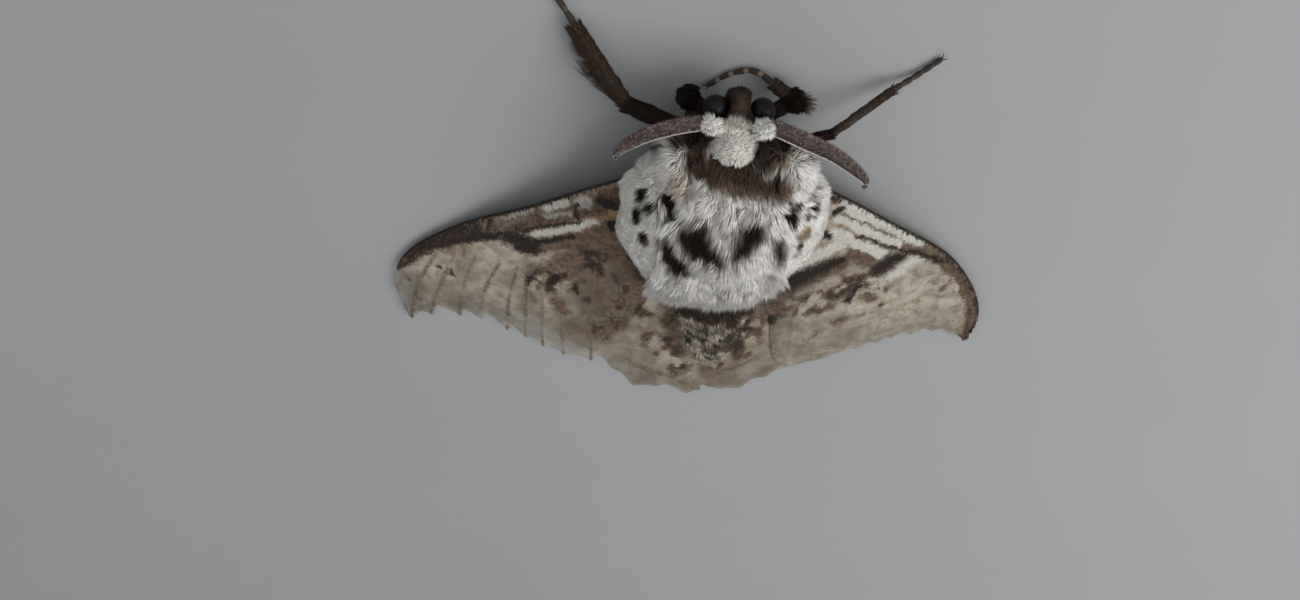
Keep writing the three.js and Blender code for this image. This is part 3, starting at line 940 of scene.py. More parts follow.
# Woolly mounds of the coat: middle, reach and height.
LOBES: tuple[tuple[Point3, float, float], ...] = (
    ((6.6, -3.4, 5.4), 1.6, 0.55), ((6.5, 0.4, 5.2), 1.6, 0.4), ((1.95, -10.2, 6.7), 0.55, 0.45),
    ((-1.6, -10.25, 6.8), 0.55, 0.45), ((1.35, -5.1, 8.6), 0.95, 0.65), ((-0.2, -4.7, 8.8), 0.75, 0.5),
    ((-1.75, -4.7, 8.5), 0.8, 0.5), ((-3.1, -5.0, 8.0), 0.75, 0.5), ((3.2, -5.0, 8.0), 1.1, 0.3),
    ((4.2, -7.1, 6.9), 1.5, 0.65), ((-4.4, -7.1, 7.0), 1.4, 0.65), ((3.0, -2.9, 8.3), 0.9, 0.25),
    ((-2.9, -3.0, 8.4), 1.0, 0.3), ((0.1, 0.8, 8.9), 1.2, 0.25), ((-2.6, 1.6, 8.0), 1.2, 0.3),
    ((2.0, 3.4, 7.4), 1.3, 0.25),
)


def region_of(points: np.ndarray) -> np.ndarray:
    """Sorts points of the body into the coat's regions.

    Args:
        points: Points of shape (count, 3), in millimetres.

    Returns:
        The index of each point's region.
    """
    x, y, z = (points + GRAIN.vector(points, 1.4) * 0.7).T
    found = np.full(len(points), MANTLE)
    found[(np.abs(x) > 4.3 - 0.03 * y) & (z > 3.5) & (y > -4.8)] = FLAP
    found[(np.abs(x) > 2.7) & (y < -4.6)] = SHOULDER
    found[(y < -5.7) & (np.abs(x) < 3.2) & (z > 4.5)] = COLLAR
    found[(y > 4.3 - 0.08 * x**2) & (z > 4.0) & (np.abs(x - 0.2) < 3.9)] = FRINGE
    found[(z < 3.6) & (y < 6.5)] = BREAST
    found[(y > 7.3) | ((y > 5.2) & (z < 4.0))] = TAIL
    x, y, z = points.T
    found[(y < -9.3) & (np.abs(x) < 3.0)] = FACE
    middle, reach = PELT.crown_centre, PELT.crown_reach
    near = np.hypot((x - middle[0]) / reach[0], (y - middle[1]) / reach[1]) < 1
    found[near & (z > PELT.crown_floor)] = CROWN
    for centre in PELT.tuft_centres:
        found[np.linalg.norm(points - np.array(centre), axis=1) < PELT.tuft_reach] = TUFT
    return found


PELT = Pelt()


def lie_of(points: np.ndarray, normals: np.ndarray, region: np.ndarray) -> np.ndarray:
    """Tells which way the coat lies.

    Args:
        points: Roots of the tufts, in millimetres.
        normals: The skin's normals there.
        region: The index of each root's region.

    Returns:
        A direction for each root, along the skin.
    """
    x, y, z = points.T
    lie = np.tile([0.0, 1.0, -0.05], (len(points), 1))
    lie[:, 0] += 0.07 * x * (y > -6)
    crown = region == CROWN
    outward = np.stack([x - 0.2, y + 9.0, np.full_like(x, -0.2)], axis=1)
    lie[crown] = outward[crown]
    for centre in PELT.tuft_centres:
        near = (region == TUFT) & (x * centre[0] > 0)
        lie[near] = points[near] - np.array(centre) + [0.0, 0.3, -0.2]
    face = region == FACE
    lie[face] = np.stack([0.35 * x, np.full_like(x, -0.15), np.full_like(x, -1.0)], axis=1)[face]
    shoulder = region == SHOULDER
    lie[shoulder, 0] += 0.35 * np.sign(x[shoulder])
    flap = region == FLAP
    lie[flap, 0] += 0.25 * np.sign(x[flap])
    lie[flap, 2] -= 0.2
    fringe = region == FRINGE
    lie[fringe, 0] = 0.05 * (x[fringe] - 0.2) + 0.1 * smoothstep(x[fringe], 1.5, 3.5)
    lie[fringe, 2] = -0.25
    tail = region == TAIL
    lie[tail, 0] += (0.3 * (x - 0.1))[tail] * smoothstep(z[tail], 5.5, 3.5)
    breast = region == BREAST
    lie[breast, 2] -= 0.5
    woolly = np.isin(region, (MANTLE, SHOULDER, COLLAR))[:, None]
    for centre, reach, _ in LOBES:
        away = (points - np.array(centre)) / reach
        near = np.exp(-np.sum((away * LOBE_SHAPE) ** 2, axis=1))[:, None]
        lie += away * near * woolly * 1.1
    stray = 1 - 0.72 * smoothstep(y, -3.5, 2.0)[:, None]
    lie += (GRAIN.vector(points, 0.35) * 0.7 + GRAIN.vector(points, 1.1) * 0.8) * stray
    inward = np.sum(lie * normals, axis=1, keepdims=True)
    inward = np.where(fringe[:, None], np.minimum(inward, 0), inward)
    return unit(lie - normals * inward)


@dataclass
class Growth:
    """Roots and how tufts grow from them; a plain number holds for every tuft."""

    roots: np.ndarray
    normals: np.ndarray
    lie: np.ndarray
    length: np.ndarray | float
    lift: tuple[np.ndarray | float, np.ndarray | float]  # sine of the angle to the skin, at root and tip
    width: float
    clump: np.ndarray | float
    centres: np.ndarray  # indices of the roots that others lean to
    flatness: float = 0.7  # height of a tuft's section, in widths
    steps: int = 2

    def strands(self, dice: np.random.Generator) -> tuple[Strands, np.ndarray]:
        """Grows the tufts.

        Args:
            dice: Seeded random numbers.

        Returns:
            The strands, and a shade from 0 to 1 for each.
        """
        count, steps = len(self.roots), self.steps
        tree = KDTree(len(self.centres))
        for index, centre in enumerate(self.roots[self.centres]):
            tree.insert(centre, index)
        tree.balance()
        owner = np.array([tree.find(root)[1] for root in self.roots])
        clump_dice = dice.random((len(self.centres), 3))[owner]
        reach = self.length * (0.75 + 0.4 * dice.random(count)) * (0.8 + 0.4 * clump_dice[:, 0])
        paths = [self.roots - self.normals * 0.06]
        for t in np.linspace(0, 1, steps):
            sine = (self.lift[0] * (1 - t) + self.lift[1] * t) * (0.8 + 0.4 * clump_dice[:, 1])
            sine = np.clip(sine, -0.3, 0.98)[:, None]
            way = self.lie * np.sqrt(1 - sine**2) + self.normals * sine
            way = unit(way + (dice.random((count, 3)) - 0.5) * 0.3)
            paths.append(paths[-1] + way * (reach / steps)[:, None])
        path = np.stack(paths, axis=1)
        chief = path[self.centres][owner]
        for k in range(1, steps + 1):
            path[:, k] += (chief[:, k] - path[:, k]) * np.reshape(self.clump * (k / steps) ** 1.3, (-1, 1))
        path[..., 2] = np.maximum(path[..., 2], LOWEST)
        widths = self.width * np.linspace(1.0, 0.72, steps) * (0.75 + 0.5 * dice.random((count, 1)))
        shade = np.clip(0.15 + 0.45 * dice.random(count) + 0.4 * clump_dice[:, 2], 0, 1)
        return Strands(path, widths, self.normals, self.flatness), shade


@dataclass
class Skin:
    """One closed skin for head, collar, thorax, flaps and abdomen, inside the frame's solids."""

    nodes: tuple[str, ...] = (
        *("head", "collar", "thorax", "tegula_left", "tegula_right", "abdomen"),
        *("palp_left", "palp_right"),
    )
    cell: float = 0.26
    merge: float = 1e-6  # metres
    soften_rounds: int = 3
    depth_rounds: int = 6

    def build(self, maker: Maker) -> bpy.types.Object:
        """Builds the skin.

        Args:
            maker: Makes and hands over meshes.

        Returns:
            The skin's object.
        """
        copies = []
        for name in self.nodes:
            copy = NODES[name].copy()
            copy.data = NODES[name].data.copy()
            copy.parent = None
            bpy.context.scene.collection.objects.link(copy)
            copies.append(copy)
        piece = join(copies, "skin")
        for key in list(piece.keys()):
            del piece[key]
        bpy.ops.object.mode_set(mode="EDIT")
        bpy.ops.mesh.select_all(action="SELECT")
        bpy.ops.mesh.remove_doubles(threshold=self.merge)
        bpy.ops.object.mode_set(mode="OBJECT")
        self.remesh(piece)
        moved = self.sink(piece, maker.datum)
        piece.data.vertices.foreach_set("co", maker.datum.metres(moved).astype(np.float32).ravel())
        piece.data.update()
        self.remesh(piece)
        points, _ = self.read(piece, maker.datum)
        # Painted shade: the skin gets a low tone and a root's place along the hair, so it shows dark between
        # the tufts.
        put_numbers(piece.data, {**PELT.marks(points, region_of(points)), "shade": 0.3, "along": 0.15})
        maker.finish(piece, Look.PELT, "mantle_fur", *self.nodes)
        return piece

    def sink(self, piece: bpy.types.Object, datum: Datum) -> np.ndarray:
        """Sinks the skin by the coat's depth, raises its mounds and slims the abdomen.

        Args:
            piece: The skin.
            datum: The moth's datum.

        Returns:
            The new place of each vertex, in millimetres.
        """
        points, normals = self.read(piece, datum)
        depth = np.array([r.depth for r in REGIONS])[region_of(points)]
        depth = self.even(piece, depth, self.depth_rounds)
        lump = GRAIN.at(points, 0.75) * 0.5 * smoothstep(depth, 0.4, 0.8)
        for centre, reach, height in LOBES:
            gap = np.linalg.norm((points - np.array(centre)) * LOBE_SHAPE, axis=1)
            lump += height * smoothstep(gap, reach, 0)
        moved = points + normals * (lump - depth)[:, None]
        slim = 0.3 * smoothstep(points[:, 1], 7.5, 12.0)
        axis = 0.35 - 0.12 * moved[:, 1]
        moved[:, 0] += (axis - moved[:, 0]) * slim * smoothstep(moved[:, 2], 0.2, 1.0)
        moved[:, 2] = np.maximum(moved[:, 2], 0.0)
        return moved

    def remesh(self, piece: bpy.types.Object) -> None:
        """Rebuilds a piece as one even closed skin, a little smoothed."""
        choose(piece)
        remesh = piece.modifiers.new("even", "REMESH")
        remesh.mode = "VOXEL"
        remesh.voxel_size = self.cell * MM
        remesh.use_smooth_shade = True
        soften = piece.modifiers.new("soften", "SMOOTH")
        soften.factor = 0.5
        soften.iterations = self.soften_rounds
        for name in ("even", "soften"):
            bpy.ops.object.modifier_apply(modifier=name)

    @staticmethod
    def read(piece: bpy.types.Object, datum: Datum) -> tuple[np.ndarray, np.ndarray]:
        """Reads a mesh's vertices, in millimetres, and their normals."""
        points, normals = np.empty((2, len(piece.data.vertices) * 3))
        piece.data.vertices.foreach_get("co", points)
        piece.data.vertices.foreach_get("normal", normals)
        return datum.millimetres(points.reshape(-1, 3)), normals.reshape(-1, 3)

    @staticmethod
    def even(piece: bpy.types.Object, numbers: np.ndarray, rounds: int) -> np.ndarray:
        """Spreads a number for each vertex over its neighbours."""
        edges = np.empty(len(piece.data.edges) * 2, np.int32)
        piece.data.edges.foreach_get("vertices", edges)
        a, b = edges.reshape(-1, 2).T
        share = np.bincount(a, minlength=len(numbers)) + np.bincount(b, minlength=len(numbers))
        for _ in range(rounds):
            near = np.bincount(a, numbers[b], len(numbers)) + np.bincount(b, numbers[a], len(numbers))
            numbers = 0.5 * numbers + 0.5 * near / np.maximum(share, 1)
        return numbers


@dataclass
class Coat:
    """The tufts of the body, grown from the skin region by region."""

    seed: int = 5
    largest: int = 17000  # tufts in one piece
    underside: float = 0.35  # share of tufts kept where the body faces the floor
    facing_down: float = -0.35  # height of a normal under which the body faces the floor

    def scatter(
        self, skin: bpy.types.Object, datum: Datum, dice: np.random.Generator
    ) -> tuple[np.ndarray, np.ndarray]:
        """Scatters roots over the skin.

        Args:
            skin: The skin.
            datum: The moth's datum.
            dice: Seeded random numbers.

        Returns:
            Roots in millimetres, and the skin's normals there.
        """
        points, normals = Skin.read(skin, datum)
        skin.data.calc_loop_triangles()
        flat = np.empty(len(skin.data.loop_triangles) * 3, np.int32)
        skin.data.loop_triangles.foreach_get("vertices", flat)
        tris = flat.reshape(-1, 3)
        a, b, c = (points[tris[:, k]] for k in range(3))
        area = np.linalg.norm(np.cross(b - a, c - a), axis=1) / 2
        middle = (a + b + c) / 3
        density = np.array([r.density for r in REGIONS])[region_of(middle)]
        down = normals[tris].mean(axis=1)[:, 2] < self.facing_down
        wanted = area * (density * np.where(down, self.underside, 1.0))
        number = np.floor(wanted + dice.random(len(wanted))).astype(int)
        chosen = np.repeat(np.arange(len(tris)), number)
        u, v = dice.random((2, len(chosen)))
        over = u + v > 1
        u[over], v[over] = 1 - u[over], 1 - v[over]
        w = np.stack([1 - u - v, u, v], axis=1)[..., None]
        return (points[tris[chosen]] * w).sum(axis=1), unit((normals[tris[chosen]] * w).sum(axis=1))

    @staticmethod
    def unwrap(points: np.ndarray) -> np.ndarray:
        """Unwraps the body's skin round its long axis."""
        x, y, z = points.T
        return on_map(np.arctan2(x, z - 3.2) / TAU + 0.5, ramp(y, -13.0, 20.0))

    def build(self, maker: Maker, skin: bpy.types.Object) -> None:
        """Grows the coat.

        Args:
            maker: Makes and hands over meshes.
            skin: The skin that it grows from.
        """
        dice = np.random.default_rng(self.seed)
        roots, normals = self.scatter(skin, maker.datum, dice)
        region = region_of(roots)
        for index, kind in enumerate(REGIONS):
            inside = np.flatnonzero(region == index)
            inside = inside[np.argsort(roots[inside, 0] + 0.001 * roots[inside, 1])]
            shares = max(1, math.ceil(len(inside) / self.largest))
            for number, part in enumerate(np.array_split(inside, shares)):
                name = f"coat_{kind.name}" + (f"_{number + 1}" if shares > 1 else "")
                self.patch(maker, name, kind, roots[part], normals[part], dice)

    def patch(
        self,
        maker: Maker,
        name: str,
        kind: CoatRegion,
        roots: np.ndarray,
        normals: np.ndarray,
        dice: np.random.Generator,
    ) -> None:
        """Grows one piece of the coat.

        Args:
            maker: Makes and hands over meshes.
            name: The piece's name.
            kind: The region's numbers.
            roots: Roots of its tufts.
            normals: The skin's normals there.
            dice: Seeded random numbers.
        """
        count = len(roots)
        region = np.full(count, REGIONS.index(kind))
        sleek = smoothstep(roots[:, 1], -3.5, 2.0)
        short = smoothstep(roots[:, 1], 5.6, 7.2) * (kind.name == "fringe")
        clumps = max(4, int(count / kind.density / kind.clump_size))
        strands, shade = Growth(
            roots,
            normals,
            lie_of(roots, normals, region),
            kind.length * (1 + 0.25 * sleek * (kind.name == "mantle") - 0.35 * short),
            (kind.lift[0] * (1 - 0.35 * sleek), kind.lift[1] * (1 - 0.5 * sleek)),
            kind.width,
            kind.clump * (0.5 + dice.random(count)),
            dice.choice(count, min(clumps, count), replace=False),
        ).strands(dice)
        seen = (strands.paths[:, 1] + strands.paths[:, 2]) / 2
        values = {**PELT.marks(seen, region), "shade": shade}
        maker.grow(name, strands, self.unwrap(roots), values, Look.PELT, kind.slot)


# ------------------------------------------------------------------ wings


class WingKind(Enum):
    """The two pairs of wings."""

    FORE = "forewing"
    HIND = "hindwing"


def wing_height(points: np.ndarray) -> np.ndarray:
    """Height of the forewings' upper face over points in plan."""
    x, y = np.abs(points[:, 0]), points[:, 1]
    rim = 1.2 + (0.62 - 1.2) * smoothstep(x, 12, 20)
    out = np.maximum(x - 4.0, 0) / 9.0
    return rim + 4.0 * np.exp(-(out**1.3)) * (1 - smoothstep(y, -4.0, 19.0))


@dataclass(frozen=True)
class WingPlan:
    """Outline, veins and marks of one wing."""

    front: tuple[Point2, ...]
    rear: tuple[Point2, ...]
    veins: tuple[tuple[Point2, ...], ...]
    strokes: tuple[Stroke, ...]
    clear_from: float = 0.62  # share of the chord where the bare membrane begins
    clear_most: float = 0.8
    vein_tone: float = 0.32
    vein_end: float = 0.1  # half width of the veins at the margin
    costa_end: float = 14.6  # y at which the dark front edge stops
    notch: Point2 = (0.4, 0.4)  # depth of the worn notches between veins, near the body and near the tip
    fleck_pale: float = 0.45
    murk: float = 0.1  # least stain of the bare membrane
    pale_most: float = 1.0


LEFT_FORE = WingPlan(
    front=((3.6, -5.6), (7.7, -2.6), (12.9, 1.3), (18.5, 4.9), (22.4, 8.0), (23.9, 11.3), (23.0, 15.3)),
    rear=((3.0, 4.6), (4.6, 12.0), (7.4, 19.0), (11.2, 18.5), (15.1, 16.4), (19.1, 15.3), (22.5, 15.6)),
    veins=(
        ((20.2, 7.4), (22.0, 11.3), (22.87, 15.6)),
        ((18.9, 7.4), (20.3, 11.2), (21.3, 15.5)),
        ((17.5, 7.7), (18.5, 11.2), (18.95, 15.2)),
        ((15.65, 8.1), (16.9, 11.6), (17.2, 15.4)),
        ((14.3, 8.2), (14.9, 11.8), (15.1, 16.2)),
        ((13.6, 8.0), (13.6, 12.2), (13.6, 16.9)),
        ((12.3, 7.6), (12.3, 12.4), (12.15, 17.8)),
        ((10.9, 7.2), (10.9, 12.6), (10.4, 18.6)),
        ((8.6, 6.8), (8.5, 13.0), (8.1, 19.2)),
        ((6.0, 7.5), (5.56, 13.0), (5.3, 16.7)),
    ),
    strokes=(
        *strokes("brown", ANY_HEIGHT,
            ((7.2, -1.5, 12.0, 2.2, 17.4, 5.3, 20.0, 7.0), 1.2, 0.4, 0.95, 0.7),
            ((13.2, 5.6, 10.6, 4.6, 8.6, 3.6, 7.4, 2.0), 0.9, 0.5, 1.0, 1.1),
            ((7.6, 4.6, 9.4, 5.6, 11.0, 6.9), 1.25, 0.6, 0.9, 0.9),
            ((5.2, 5.2, 5.0, 7.4, 4.6, 10.2, 4.3, 13.0), 0.9, 0.6, 0.95, 1.0),
            ((6.2, 4.6, 5.9, 7.0), 1.3, 0.8, 0.8, 0.9), ((8.9, 6.6, 8.4, 7.7), 0.6, 0.5, 0.9, 0.45),
            ((7.7, 9.0, 7.5, 10.1), 0.42, 0.4, 0.9), ((7.5, 11.0, 7.2, 11.8, 6.2, 12.2), 0.45, 0.4, 0.85),
            ((9.5, 7.7, 10.4, 8.6), 0.4, 0.4, 0.85),
            ((11.1, 11.7, 10.9, 12.7, 10.4, 13.3), 0.6, 0.4, 1.0, 0.4), ((23.0, 11.2), 0.32, 0.3, 0.9),
            ((22.2, 13.2), 0.22, 0.3, 0.8), ((13.2, 11.2, 12.8, 12.0), 0.3, 0.35, 0.8),
            ((9.3, 15.4, 7.9, 15.0), 0.5, 0.5, 0.85),
            ((18.8, 5.7, 21.2, 7.5, 22.8, 9.0, 23.7, 10.0), 0.95, 0.25, 1.0, 0.3),
            ((9.4, 6.6, 10.6, 7.4), 0.6, 0.5, 0.85, 0.5),
        ),
        *strokes("dark", ANY_HEIGHT,
            ((8.2, -0.7, 7.6, -0.4), 0.55, 0.35), ((10.0, 0.2, 10.1, 1.6), 0.24, 0.2, 0.9),
            ((12.9, 1.0, 13.0, 2.3), 0.12, 0.16, 0.85), ((16.2, 3.5, 16.5, 4.7), 0.2, 0.2, 0.85),
            ((17.4, 4.9, 17.7, 5.7), 0.35, 0.25, 0.85),
            ((9.7, 1.95, 11.3, 2.8, 13.4, 3.83, 16.3, 5.3), 0.14, 0.16, 1.0, 0.2),
            ((15.9, 5.2, 17.9, 6.1, 19.5, 6.8, 21.0, 7.6), 0.42, 0.35, 0.95, 0.28),
            ((14.8, 5.2, 13.9, 5.3, 13.2, 5.7), 0.85, 0.6, 1.0, 0.6),
            ((12.9, 5.1, 11.3, 4.5, 10.1, 3.9), 0.42, 0.26, 0.95, 0.22),
            ((8.4, 5.2, 9.4, 5.3), 0.5, 0.4, 0.75), ((7.3, 1.5, 7.1, 1.9), 0.4, 0.25),
            ((4.9, 5.6, 4.6, 7.6), 0.55, 0.5, 0.75), ((4.4, 11.6, 4.6, 12.6), 0.5, 0.4, 0.85),
            ((6.9, 7.6, 6.6, 8.5), 0.28, 0.4, 0.8), ((11.4, 8.7, 11.7, 9.5), 0.46, 0.3),
            ((13.4, 9.3, 13.5, 9.8), 0.36, 0.3, 0.9), ((9.9, 9.3, 9.7, 10.4), 0.3, 0.3, 0.9),
            ((8.8, 11.0, 8.6, 11.6), 0.24, 0.3, 0.8), ((19.5, 10.1), 0.36, 0.3, 0.9),
            ((20.4, 9.5), 0.2, 0.25, 0.85), ((17.6, 4.9, 21.4, 7.6, 23.6, 10.1), 0.9, 0.4, 0.72, 0.35),
            ((7.6, -0.9, 12.0, 2.2, 17.4, 5.2), 1.0, 0.5, 0.42, 0.7),
            ((8.7, 6.9, 9.6, 7.3), 0.42, 0.45, 0.8, 0.3), ((14.1, 6.0, 13.4, 6.3), 0.7, 0.4, 0.95, 0.55),
        ),
        *strokes("pale", ANY_HEIGHT,
            ((9.5, -0.3, 9.8, 0.2), 0.55, 0.2), ((10.9, 0.4, 12.3, 1.2), 0.46, 0.2),
            ((10.6, 1.4, 12.3, 2.1), 0.34, 0.2), ((13.4, 1.9, 15.6, 3.6), 0.34, 0.3, 0.8, 0.3),
            ((13.6, 2.8, 15.6, 4.2), 0.25, 0.3, 0.7), ((16.6, 4.4, 18.2, 5.3), 0.28, 0.3, 0.75),
            ((8.8, 1.8, 10.0, 2.7, 11.4, 3.55, 12.9, 4.5), 0.36, 0.16, 1.0, 0.46),
            ((15.7, 6.1, 14.8, 7.2, 14.0, 8.1), 0.6, 0.7, 0.45),
            ((12.6, 10.6, 10.4, 11.4, 8.9, 13.2), 0.5, 0.6, 0.42),
        ),
        *strokes("mottle", ANY_HEIGHT,
            ((7.0, 6.5, 7.0, 11.0, 7.4, 15.0), 2.4, 1.2, 0.85, 2.0),
            ((8.6, 6.6, 10.2, 8.4, 11.8, 9.2), 2.0, 1.0, 0.95),
        ),
        *strokes("clear", ANY_HEIGHT,
            ((23.4, 11.4, 23.0, 13.4, 22.6, 15.4), 1.5, 0.7),
            ((21.0, 14.6, 18.0, 14.8, 15.6, 15.4), 0.8, 0.7, 0.9),
        ),
        *strokes("deep", ANY_HEIGHT,
            ((6.4, 3.6, 6.8, 8.5, 6.2, 14.0), 2.6, 2.0, 0.95, 2.4),
            ((7.5, 5.0, 9.0, 8.0, 8.5, 11.0), 2.0, 1.4), ((9.5, 10.0, 12.5, 9.5), 1.2, 1.4, 0.5),
        ),
        *strokes("warm", ANY_HEIGHT,
            ((7.4, 0.3, 9.8, 1.35), 0.6, 0.3, 1.0, 0.4), ((8.2, 2.4, 8.6, 3.2, 7.5, 4.4), 0.65, 0.35),
        ),
    ),
    clear_from=0.55,
    clear_most=1.0,
    vein_tone=0.8,
    vein_end=0.15,
    costa_end=9.6,
    notch=(0.35, 1.3),
    fleck_pale=0.2,
    murk=0.42,
    pale_most=0.62,
)

RIGHT_FORE = WingPlan(
    front=(
        (-3.8, -5.6), (-7.9, -2.8), (-13.6, 1.4), (-18.7, 5.2), (-21.6, 8.8), (-22.8, 11.8),
        (-22.5, 14.4),
    ),
    rear=(
        (-3.2, 4.6), (-5.6, 12.0), (-7.4, 18.7), (-10.6, 17.6), (-15.4, 15.4), (-19.6, 14.2),
        (-22.2, 14.7),
    ),
    veins=(
        ((-20.6, 7.4), (-22.0, 11.0), (-22.5, 14.6)),
        ((-19.2, 6.9), (-20.8, 10.6), (-21.0, 14.5)),
        ((-17.9, 6.9), (-19.2, 10.4), (-19.6, 14.3)),
        ((-16.6, 7.0), (-17.7, 10.4), (-17.9, 14.4)),
        ((-15.3, 7.3), (-16.0, 10.9), (-16.3, 14.9)),
        ((-14.3, 7.9), (-14.8, 11.6), (-15.2, 15.4)),
        ((-13.2, 8.0), (-13.4, 12.0), (-13.7, 16.0)),
        ((-11.6, 7.6), (-11.8, 12.4), (-12.1, 16.9)),
        ((-9.4, 7.0), (-9.8, 12.8), (-10.2, 17.7)),
        ((-7.0, 7.6), (-7.8, 13.2), (-8.3, 18.5)),
    ),
    strokes=(
        *strokes("pale", ANY_HEIGHT,
            ((-8.8, -1.4, -11.2, 0.1, -13.6, 1.65, -16.0, 3.3), 0.55, 0.16, 1.0, 0.42),
            ((-8.9, -0.1, -10.5, 1.1, -12.4, 2.2, -14.2, 3.1), 0.42, 0.16, 1.0, 0.36),
            ((-8.8, 1.3, -10.3, 2.35, -11.7, 3.3, -13.0, 4.1), 0.42, 0.16, 1.0, 0.5),
            ((-9.4, 2.7, -8.1, 3.8, -6.7, 4.9, -5.4, 6.2), 0.62, 0.16, 1.0, 0.85),
            ((-15.9, 5.3, -15.2, 6.2, -14.2, 6.9), 0.6, 0.6, 0.9),
            ((-13.4, 10.2, -11.0, 11.0, -8.6, 12.9), 0.5, 0.8, 0.5),
            ((-9.9, 7.0, -7.6, 8.6), 0.4, 0.6, 0.5),
        ),
        *strokes("dark", ANY_HEIGHT,
            ((-8.9, -0.7, -10.6, 0.52, -12.2, 1.35, -13.6, 2.2), 0.13, 0.2, 0.8, 0.08),
            ((-10.6, 1.85, -13.2, 3.2, -15.2, 4.2), 0.1, 0.18, 1.0, 0.2),
            ((-15.0, 4.1, -16.6, 4.8, -18.1, 5.6), 0.3, 0.3, 0.95), ((-8.6, -1.3, -8.4, -1.0), 0.34, 0.25),
            ((-7.9, -2.6, -9.2, -2.2, -11.8, -0.6), 0.2, 0.18, 0.9, 0.14),
            ((-14.5, 4.7, -13.9, 5.1, -13.4, 6.0), 0.78, 0.6, 1.0, 0.62),
            ((-8.3, 1.6, -7.9, 1.1), 0.38, 0.25, 0.95), ((-9.9, 4.5, -9.2, 4.9), 0.4, 0.3),
            ((-9.3, 5.0, -8.2, 5.7, -7.2, 6.3, -5.9, 7.8), 0.7, 0.75, 1.0, 1.0),
            ((-12.1, 8.0, -11.8, 8.9, -11.5, 9.6), 0.3, 0.26, 0.95), ((-13.7, 8.4), 0.2, 0.22, 0.85),
            ((-14.3, 10.35), 0.28, 0.3, 0.85), ((-6.1, 12.4, -5.6, 13.2), 0.5, 0.4, 0.85),
            ((-17.6, 4.2, -20.3, 6.8, -22.0, 9.4, -22.8, 11.8, -22.7, 14.0), 0.14, 0.16, 0.9),
        ),
        *strokes("warm", ANY_HEIGHT,
            ((-8.1, -0.1, -9.5, 1.1, -11.0, 1.9), 0.2, 0.25, 0.65, 0.1),
        ),
        *strokes("brown", ANY_HEIGHT,
            ((-14.0, 2.8, -16.6, 4.3, -18.6, 5.7), 0.7, 0.4, 0.75, 0.6),
            ((-8.0, -2.4, -9.6, -1.7), 0.45, 0.3, 0.7, 0.2), ((-14.6, 1.9, -17.6, 4.4), 0.1, 0.3, 0.8, 0.4),
            ((-10.7, 3.9, -12.4, 5.0, -13.7, 6.2), 0.75, 0.4, 1.0, 0.9),
            ((-10.2, 4.9, -8.2, 6.6, -6.2, 8.8, -5.8, 11.0), 0.85, 0.6, 0.9, 1.1),
            ((-5.8, 12.6, -6.6, 15.5, -7.2, 18.1), 0.22, 0.4, 0.75), ((-13.0, 9.2, -13.3, 9.5), 0.5, 0.35),
            ((-14.5, 8.45), 0.34, 0.3), ((-19.05, 8.65), 0.3, 0.25),
            ((-10.6, 9.2, -10.1, 10.4, -9.6, 11.2), 0.42, 0.35),
            ((-11.7, 12.0, -11.0, 12.5), 0.42, 0.4, 0.85), ((-13.2, 11.2, -12.8, 11.6), 0.25, 0.4, 0.75),
            ((-10.1, 13.9, -9.3, 15.2), 0.35, 0.45, 0.75), ((-7.0, 10.8, -6.6, 11.8), 0.6, 0.4),
            ((-18.7, 5.7, -20.2, 7.4, -21.5, 9.6, -22.2, 11.8, -22.4, 14.2), 0.62, 0.25, 1.0, 0.42),
        ),
        *strokes("deep", ANY_HEIGHT,
            ((-5.6, 8.0, -8.6, 7.2, -12.6, 5.6), 1.5, 1.1, 0.8, 0.9),
            ((-5.6, 10.0, -5.8, 13.6), 1.6, 1.4, 0.9),
        ),
        *strokes("mottle", ANY_HEIGHT,
            ((-12.5, 6.6, -10.2, 8.6, -7.4, 10.8), 1.7, 0.9, 0.8, 1.9),
        ),
    ),
    clear_most=0.5,
    murk=0.3,
    pale_most=0.95,
)

LEFT_HIND = WingPlan(
    front=(
        (4.4, -1.0), (10.0, 6.0), (13.4, 12.0), (12.0, 16.6), (7.6, 19.6), (5.6, 21.6), (3.9, 23.1),
        (1.6, 22.9), (-0.3, 23.9), (-1.3, 22.7),
    ),
    rear=((3.0, 4.6), (1.2, 10.0), (0.0, 14.6), (-0.5, 17.6), (-1.0, 19.4), (-1.3, 22.4)),
    veins=(
        ((4.0, 9.0), (4.3, 15.0), (4.4, 21.6)),
        ((3.4, 9.0), (3.2, 15.6), (2.4, 22.4)),
        ((6.0, 9.0), (6.2, 15.0), (6.2, 20.2)),
    ),
    strokes=(
        *strokes("mottle", ANY_HEIGHT,
            ((3.4, 8.0, 3.2, 13.0, 2.6, 17.0, 1.2, 19.4), 2.2, 1.0, 0.9, 1.6),
        ),
        *strokes("brown", ANY_HEIGHT,
            ((4.8, 19.9, 3.0, 20.6, 1.2, 21.0), 0.3, 0.4, 0.8),
            ((2.3, 12.0, 1.8, 15.0, 1.0, 17.2), 0.8, 0.6, 0.9, 0.6),
        ),
        *strokes("dark", ANY_HEIGHT,
            ((2.9, 15.6, 2.5, 16.4), 0.3, 0.4, 0.7),
        ),
    ),
    clear_from=0.4,
    clear_most=0.6,
    murk=0.5,
    fleck_pale=0.3,
)

